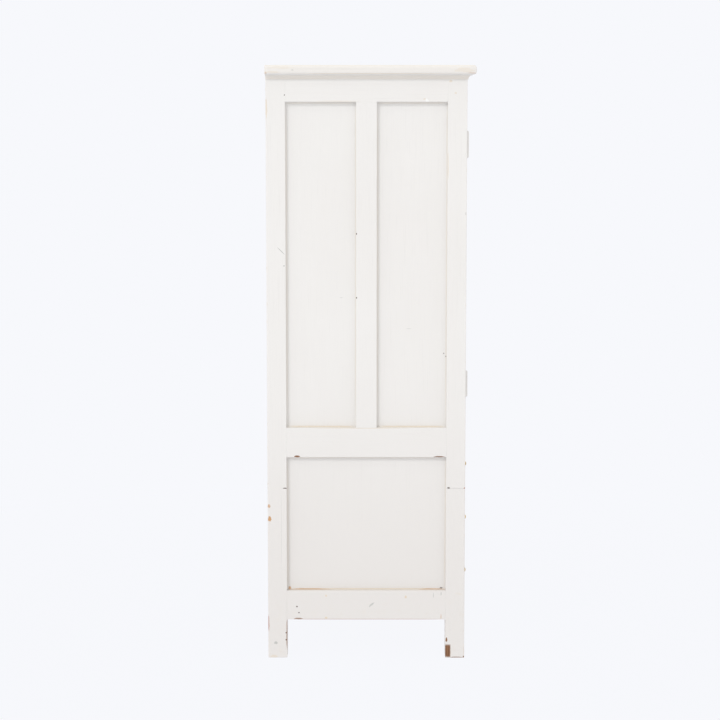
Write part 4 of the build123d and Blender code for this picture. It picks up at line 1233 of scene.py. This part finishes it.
    def _panels(self, shop: Workshop) -> None:
        """The flat panels, which reach into grooves all round."""
        s, g = self.sizes, self.groove
        outer = self.sign * (s.half_width - self.recess)
        x = (outer, outer - self.sign * self.panel)
        upper = (s.waist_rail[1] - g, s.top_rail[0] + g)
        places = {
            "upper_front_panel": ((s.post_front - g, self._muntin_span[0] + g), upper),
            "upper_back_panel": ((self._muntin_span[1] - g, s.post_back + g), upper),
            "lower_panel": ((s.post_front - g, s.post_back + g), (s.bottom_rail[1] - g, s.waist_rail[0] + g)),
        }
        for index, (kind, (y, z)) in enumerate(places.items()):
            name = f"{self.side}_{kind}"
            looks = {"radius": 0.0005, "corner_wear": (0.0,) * 4, "end_wear": 0.0, "waver": 0.0005}
            board = plank_between(x, y, z, Grain.ALONG_Z, seed=21 + index, **looks)
            low, high = (min(y), min(z)), (max(y), max(z))
            inside = tuple(
                m for m in PANEL_MARKS if low[0] < m.at[1] < high[0] and low[1] < m.at[2] < high[1]
            )
            # Yellowing and painted shade along the panel's four edges.
            edges = recess_stain_and_shade((low[0] + g, high[0] - g), (low[1] + g, high[1] - g))
            shop.painted(name, [board], [name], self._marks((*edges, *inside)))


@dataclass(frozen=True)
class FrontFrame:
    """The rails across the front, and the framing round the drawers."""

    sizes: Sizes = SIZES
    thickness: float = 0.025
    drawer_rail: float = 0.020
    drawer_rail_depth: float = 0.040
    rows: int = 3
    columns: int = 3

    @property
    def bay_width(self) -> float:
        """The width of a drawer's opening."""
        return (2 * self.sizes.inner - (self.columns - 1) * self.drawer_rail) / self.columns

    @property
    def bay_height(self) -> float:
        """The height of a drawer's opening."""
        s = self.sizes
        return (s.front_waist_low - s.front_bottom_high - (self.rows - 1) * self.drawer_rail) / self.rows

    def bay(self, row: int, column: int) -> Pair:
        """The low corner (x, z) of a drawer's opening; row 0 is the top one."""
        s = self.sizes
        x = -s.inner + column * (self.bay_width + self.drawer_rail)
        z = s.front_waist_low - self.bay_height - row * (self.bay_height + self.drawer_rail)
        return x, z

    def build(self, shop: Workshop) -> None:
        """Makes the frame's pieces."""
        s = self.sizes
        wide = (-s.inner, s.inner)
        flush = {"radius": 0.0009, "end_radius": 0.00005, "end_wear": 0.0, "corner_wear": (0.6,) * 4}
        heights = (
            (s.bottom_rail[0], s.front_bottom_high),
            (s.front_waist_low, s.waist_rail[1]),
            s.top_rail,
        )
        y = (s.front, s.front + self.thickness)
        rails = [
            plank_between(wide, y, z, Grain.ALONG_X, seed=31 + i, **flush)
            for i, z in enumerate(heights)
        ]
        shop.painted("front_rails", rails, ["front_rails"])

        y = (s.front, s.front + self.drawer_rail_depth)
        framing = []
        for level in range(1, self.rows):
            low = self.bay(level, 0)[1] + self.bay_height
            z = (low, low + self.drawer_rail)
            framing.append(plank_between(wide, y, z, Grain.ALONG_X, seed=35 + level, **flush))
        for row in range(self.rows):
            for column in range(1, self.columns):
                x, z = self.bay(row, column)
                place = (x - self.drawer_rail, x), y, (z, z + self.bay_height)
                framing.append(plank_between(*place, Grain.ALONG_Z, seed=40 + row * 3 + column, **flush))
        shop.painted("drawer_rails", framing, ["drawer_rails"])


@dataclass(frozen=True)
class Back:
    """Boards up the back, on three rails."""

    sizes: Sizes = SIZES
    boards: int = 8
    rebate: float = 0.012

    def build(self, shop: Workshop) -> None:
        """Makes the rails and the boards; the boards' long edges are eased into V joints."""
        s = self.sizes
        y = (s.back_rail_face, s.board_face)
        rails = [
            plank_between((-s.inner, s.inner), y, z, Grain.ALONG_X, seed=61 + i, end_radius=0.0001)
            for i, z in enumerate((s.bottom_rail, s.waist_rail, s.top_rail))
        ]
        shop.fit("back_rails", rails, shop.bare, "bare_wood", ["back_rails"])
        half = s.inner + self.rebate
        edges = np.linspace(-half, half, self.boards + 1)
        looks = {"radius": 0.0024, "waver": 0.0001}
        proud = 0.0003
        y, z = (s.board_face, s.back + proud), (s.bottom_rail[0], s.top)
        boards = [
            plank_between((a, b), y, z, Grain.ALONG_Z, seed=65 + i, **looks)
            for i, (a, b) in enumerate(zip(edges[:-1].tolist(), edges[1:].tolist()))
        ]
        shop.fit("back_boards", boards, shop.bare, "bare_wood", ["back_boards"])


@dataclass(frozen=True)
class Top:
    """The top board, and the hollow moulding under it."""

    sizes: Sizes = SIZES
    thickness: float = 0.028
    overhang: float = 0.026
    back_overhang: float = 0.002
    cove: float = 0.014

    def build(self, shop: Workshop) -> None:
        """Makes both pieces."""
        s = self.sizes
        x = s.half_width + self.overhang
        low = (-x, s.front - self.overhang, s.top)
        high = (x, s.back + self.back_overhang, s.top + self.thickness)
        shop.painted("top_board", [CapBoard(low, high, 0.009, 0.008)], ["top_board"], CAP_MARKS)
        cove = Cove(-s.half_width, s.half_width, s.front, s.back, s.top - self.cove, self.cove)
        shop.painted("cornice_moulding", [cove], ["cornice_moulding"], CORNICE_SHADE_MARKS)


@dataclass(frozen=True)
class Interior:
    """The boards and shelves, the bearers under them, and what the drawers run on."""

    front_frame: FrontFrame
    sizes: Sizes = SIZES
    gap: float = 0.0005
    bearer: float = 0.020
    runner: float = 0.022
    shelf_setback: float = 0.048
    panel_face: float = 0.473  # the inner face of the lower side panels

    def build(self, shop: Workshop) -> None:
        """Makes the interior's pieces."""
        s = self.sizes
        rail_back = s.front + self.front_frame.thickness
        self._floor(shop, "bottom_board", s.front_bottom_high, rail_back, s.back_rail_face, 71)
        self._floor(shop, "waist_board", s.waist_rail[1], rail_back, s.back_rail_face, 72)
        front, back = s.front + self.shelf_setback, s.board_face - 0.001
        shelves = [self._notched(top, front, back, 73 + i) for i, top in enumerate(s.shelf_tops)]
        shop.fit("shelves", shelves, shop.bare, "bare_wood", ["shelves"])
        self._bearers(shop)
        self._drawer_supports(shop)

    def _floor(self, shop: Workshop, name: str, top: float, front: float, back: float, seed: int) -> None:
        """Makes one full board, notched round the posts."""
        shop.fit(name, [self._notched(top, front, back, seed)], shop.bare, "bare_wood", [name])

    def _notched(self, top: float, front: float, back: float, seed: int) -> Board:
        """A board whose ends are narrower beside the posts."""
        s = self.sizes
        narrow = s.inner - self.gap
        wide = s.side_inner - self.gap
        z = (top - s.board, top)
        y = (s.post_front + self.gap, s.post_back - self.gap)
        # The grain runs along X, so the ends that pass between the posts are steps in Y's width.
        steps = (Step(-wide, *y), Step(-narrow, front, back), Step(narrow, *y))
        low, high = (-wide, front, z[0]), (wide, back, z[1])
        return Board(low, high, Grain.ALONG_X, seed=seed, steps=steps, pitch=0.09)

    def _bearers(self, shop: Workshop) -> None:
        """Makes the battens that carry the boards, fixed inside the side frames."""
        s = self.sizes
        y = (s.post_front, s.post_back)
        bearers = []
        for index, top in enumerate((s.front_bottom_high, s.waist_rail[1], *s.shelf_tops)):
            z = (top - s.board - self.bearer, top - s.board)
            for sign in (-1, 1):
                x = (sign * s.side_inner, sign * (s.side_inner - self.bearer))
                bearers.append(plank_between(x, y, z, Grain.ALONG_Y, seed=80 + index * 2 + sign, pitch=0.12))
        shop.fit("shelf_bearers", bearers, shop.bare, "bare_wood", ["shelf_bearers"])

    def _drawer_supports(self, shop: Workshop) -> None:
        """Makes the partitions between the columns of drawers, and the runners."""
        s, f = self.sizes, self.front_frame
        front = s.front + f.drawer_rail_depth
        z = (s.front_bottom_high, s.waist_rail[1] - s.board)
        partitions, runners = [], []
        for column in range(1, f.columns):
            x = f.bay(0, column)[0]
            place = (x - f.drawer_rail, x), (front, s.back_rail_face), z
            partitions.append(plank_between(*place, Grain.ALONG_Y, seed=93 + column, pitch=0.12))
        shop.fit("drawer_partitions", partitions, shop.bare, "bare_wood", ["drawer_partitions"])
        for level in range(1, f.rows):
            low = f.bay(level, 0)[1] + f.bay_height
            z = (low, low + f.drawer_rail)
            for column in range(f.columns):
                x = f.bay(level, column)[0]
                for edge, inward in ((x, 1), (x + f.bay_width, -1)):
                    place = (edge, edge + inward * self.runner), (front, s.back_rail_face), z
                    seed = 100 + level * 7 + column
                    runners.append(plank_between(*place, Grain.ALONG_Y, seed=seed, pitch=0.12))
            for sign in (-1, 1):
                place = (sign * s.inner, sign * self.panel_face), (s.post_front, s.post_back), z
                runners.append(plank_between(*place, Grain.ALONG_Y, seed=120 + level + sign, pitch=0.12))
        shop.fit("drawer_runners", runners, shop.bare, "bare_wood", ["drawer_runners"])


# ---------------------------------------------------------------- doors and drawers
@dataclass(frozen=True)
class Door:
    """A glazed door: two stiles, two rails, two glazing bars, three panes and the beads behind them."""

    side: str
    sign: int
    sizes: Sizes = SIZES
    gap: float = 0.002
    thickness: float = 0.024
    stile: float = 0.048
    top_rail: float = 0.060
    bottom_rail: float = 0.090
    bar: float = 0.022
    panes: int = 3
    glass: Pair = (0.010, 0.013)
    rebate: float = 0.008
    bead: float = 0.007

    def build(self, shop: Workshop) -> None:
        """Makes the frame and the glass."""
        s, body = self.sizes, f"{self.side}_door"
        low, high = s.waist_rail[1] + self.gap, s.top_rail[0] - self.gap
        y = (s.front, s.front + self.thickness)
        outer, inner = self.sign * (s.inner - self.gap), self.sign * self.gap / 2
        seed = 140 + self.sign * 9
        looks = {"radius": 0.0013, "corner_wear": (0.75,) * 4}
        flush = {"end_radius": 0.00005, "end_wear": 0.0, **looks}
        boards = []
        for index, (edge, inward) in enumerate(((outer, -self.sign), (inner, self.sign))):
            x = (edge, edge + inward * self.stile)
            boards.append(plank_between(x, y, (low, high), Grain.ALONG_Z, seed=seed + index, **looks))
        opening = span(outer - self.sign * self.stile, inner + self.sign * self.stile)
        for index, z in enumerate(((low, low + self.bottom_rail), (high - self.top_rail, high))):
            boards.append(plank_between(opening, y, z, Grain.ALONG_X, seed=seed + 3 + index, **flush))
        spans = self._pane_spans(low, high)
        for index, (_, top) in enumerate(spans[:-1]):
            z = (top, top + self.bar)
            boards.append(plank_between(opening, y, z, Grain.ALONG_X, seed=seed + 6 + index, **flush))
        boards += self._beads(opening, spans, y[1])
        shop.painted(f"{self.side}_door_frame", boards, [f"{self.side}_door_frame"], body=body)

        reach = self.rebate - 0.001
        panes = [
            Pane(
                (opening[0] - reach, s.front + self.glass[0], z0 - reach),
                (opening[1] + reach, s.front + self.glass[1], z1 + reach),
                seed=index * 3 + self.sign,
            )
            for index, (z0, z1) in enumerate(spans)
        ]
        name = f"{self.side}_door_glass"
        shop.fit(name, panes, shop.glass, "glass", [name], body)

    def _pane_spans(self, low: float, high: float) -> list[Pair]:
        """The lower and upper edge of each pane's opening."""
        start = low + self.bottom_rail
        height = (high - self.top_rail - start - (self.panes - 1) * self.bar) / self.panes
        lows = [start + i * (height + self.bar) for i in range(self.panes)]
        return [(edge, edge + height) for edge in lows]

    def _beads(self, opening: Pair, spans: Sequence[Pair], back: float) -> list[Board]:
        """The beads that hold the glass from behind, which stand a hair proud of the frame."""
        y = (self.sizes.front + self.glass[1], back + 0.0003)
        x0, x1 = opening[0] - self.rebate, opening[1] + self.rebate
        looks = {"radius": 0.0012, "corner_wear": (0.3,) * 4, "pitch": 0.12}
        beads = []
        for z0, z1 in spans:
            low, high = z0 - self.rebate, z1 + self.rebate
            for edge, inward in ((x0, 1), (x1, -1)):
                width = (edge, edge + inward * self.bead)
                beads.append(plank_between(width, y, (low, high), Grain.ALONG_Z, **looks))
            x = (x0 + self.bead, x1 - self.bead)
            for edge, inward in ((low, 1), (high, -1)):
                beads.append(plank_between(x, y, (edge, edge + inward * self.bead), Grain.ALONG_X, **looks))
        return beads


@dataclass(frozen=True)
class Drawer:
    """A dovetailed pine drawer with a painted front."""

    row: int
    column: int
    frame: FrontFrame
    gap: float = 0.0015
    run_gap: float = 0.0005
    front: float = 0.020
    side: float = 0.012
    length: float = 0.540
    side_height: float = 0.122
    back_drop: float = 0.012
    bottom: float = 0.006
    raise_by: float = 0.008
    groove: float = 0.005
    tail: Vec3 = (0.014, 0.020, 0.027)

    @property
    def name(self) -> str:
        """The drawer's body: 1 to 3 are the top row, from the left."""
        return f"drawer_{self.row * self.frame.columns + self.column + 1}"

    def build(self, shop: Workshop) -> None:
        """Makes the painted front and the bare box behind it."""
        y_front = self.frame.sizes.front
        bay_x, bay_z = self.frame.bay(self.row, self.column)
        x = (bay_x + self.gap, bay_x + self.frame.bay_width - self.gap)
        floor = bay_z + self.run_gap
        seed = 170 + self.row * 11 + self.column * 4
        y = (y_front, y_front + self.front)
        z = (bay_z + self.gap, bay_z + self.frame.bay_height - self.gap)
        front = plank_between(x, y, z, Grain.ALONG_X, seed=seed, radius=0.0014, corner_wear=(0.8,) * 4)
        shop.fit(f"{self.name}_front", [front], shop.drawer_paint, "painted_wood", [], self.name)

        end = y_front + self.length
        proud = 0.00015
        box: list[Any] = []
        for index, start in enumerate((x[0], x[1] - self.side)):
            low = (start - proud * (index == 0), y[1], floor)
            high = (start + self.side + proud * (index == 1), end, floor + self.side_height)
            box.append(TailedSide(low, high, *self.tail, seed=seed + index))
        inner = (x[0] + self.side, x[1] - self.side)
        base = floor + self.raise_by
        z = (base + self.bottom, floor + self.side_height - self.back_drop)
        box.append(plank_between(inner, (end - self.side, end), z, Grain.ALONG_X, seed=seed + 2, pitch=0.12))
        inset = self.side - self.groove
        place = (x[0] + inset, x[1] - inset), (y[1] - self.groove, end), (base, base + self.bottom)
        box.append(plank_between(*place, Grain.ALONG_X, seed=seed + 3, radius=0.0006, pitch=0.12))
        shop.fit(f"{self.name}_pine_box", box, shop.pine, "drawer_wood", [f"{self.name}_box"], self.name)


@dataclass(frozen=True)
class Fittings:
    """Parts that keep their exact shapes: the metalwork, and the door stops with the bolt's hole.

    The hinges were painted over with the cabinet.
    """

    hinges: tuple[str, ...] = ("post_hinges", "left_door_hinge_leaves", "right_door_hinge_leaves")
    brasses: tuple[str, ...] = ("left_door_bolt_plate", "left_door_bolt", "right_door_turn_latch")
    drawers: int = 9

    def dress(self, shop: Workshop) -> None:
        """Gives every fitting its finish."""
        pulls = tuple(f"drawer_{index}_pull" for index in range(1, self.drawers + 1))
        for name in self.hinges:
            self._finish(name, shop.painted_metal, "painted_wood")
        for name in (*self.brasses, *pulls):
            self._finish(name, shop.brass, "brass")
        self._finish("door_stops", shop.bare_stops, "bare_wood")

    @staticmethod
    def _finish(name: str, finish: bpy.types.Material, slot: str) -> None:
        """Swaps one node's material."""
        node = bpy.data.objects[name]
        node.data.materials.clear()
        node.data.materials.append(finish)
        LOG.info("%s: %s", name, finish.name)


# ---------------------------------------------------------------- studio
@dataclass(frozen=True)
class Studio:
    """A pale floor that fades into the background, soft light all round, a key light and the camera."""

    background: Vec3 = (0.930, 0.939, 0.973)
    fill: Vec3 = (0.990, 0.972, 0.945)
    key: float = 0.72
    key_from: Vec3 = (-1.0, 0.6, 0.85)
    key_width: float = 9.0
    floor_radius: float = 14.0
    camera_at: Vec3 = (-6.80, 0.0312, 1.7066)
    camera_down: float = 7.118
    lens: float = 105.36

    def build(self) -> None:
        """Makes the floor, the lights and the camera."""
        scene = bpy.context.scene
        scene.view_settings.view_transform = "Standard"
        world = bpy.data.worlds.new("studio")
        world.use_nodes = True
        tree = world.node_tree
        seen = tree.nodes.new("ShaderNodeMix")
        seen.data_type = "RGBA"
        seen.inputs[6].default_value = (*self.fill, 1.0)
        seen.inputs[7].default_value = (*self.background, 1.0)
        rays = tree.nodes.new("ShaderNodeLightPath")
        tree.links.new(rays.outputs["Is Camera Ray"], seen.inputs[0])
        tree.links.new(seen.outputs[2], tree.nodes["Background"].inputs["Color"])
        scene.world = world
        self._floor()
        self._key()
        self._camera()

    def _floor(self) -> None:
        """A disc just under the feet: rings of points whose radius grows by the square."""
        radius = self.floor_radius * np.linspace(0.02, 1, 24) ** 2
        angle = np.linspace(0, 2 * math.pi, 65)[:-1]
        x, y = radius[:, None] * np.cos(angle), radius[:, None] * np.sin(angle)
        points = np.stack([x, y, np.full_like(x, -0.0004)], -1).reshape(-1, 3)
        faces = [face[::-1] for face in rings_to_faces(len(radius), len(angle), caps=False)]
        faces.append(tuple(range(len(angle))))
        mesh = bpy.data.meshes.new("floor")
        mesh.from_pydata(points.tolist(), [], faces)
        mesh.materials.append(StudioPaper(self.background).material("studio_paper"))
        floor = bpy.data.objects.new("floor", mesh)
        bpy.context.scene.collection.objects.link(floor)

    def _key(self) -> None:
        """A wide, soft sun from behind and above the left side."""
        light = bpy.data.lights.new("key", "SUN")
        light.energy = self.key
        light.angle = math.radians(self.key_width)
        light.color = (0.985, 0.99, 1.0)
        made = bpy.data.objects.new("key", light)
        made.rotation_mode = "QUATERNION"
        made.rotation_quaternion = (-Vector(self.key_from)).to_track_quat("-Z", "Y")
        bpy.context.scene.collection.objects.link(made)

    def _camera(self) -> None:
        """The camera looks at the left side from nearly the height of the top board, a little down."""
        data = bpy.data.cameras.new("camera")
        data.lens = self.lens
        data.sensor_width = 36.0
        made = bpy.data.objects.new("camera", data)
        made.location = self.camera_at
        made.rotation_euler = (math.radians(90 - self.camera_down), 0.0, math.radians(-90))
        bpy.context.scene.collection.objects.link(made)
        bpy.context.scene.camera = made


def main() -> None:
    """Builds the cabinet, assembly by assembly, and the studio round it."""
    logging.basicConfig(level=logging.INFO, format="%(message)s")
    shop = Workshop()
    front_frame = FrontFrame()
    for side, sign in (("left", -1), ("right", 1)):
        SideFrame(side, sign).build(shop)
        Door(side, sign).build(shop)
    front_frame.build(shop)
    Back().build(shop)
    Top().build(shop)
    Interior(front_frame).build(shop)
    for row in range(front_frame.rows):
        for column in range(front_frame.columns):
            Drawer(row, column, front_frame).build(shop)
    Fittings().dress(shop)
    Studio().build()


if __name__ == "__main__":
    main()
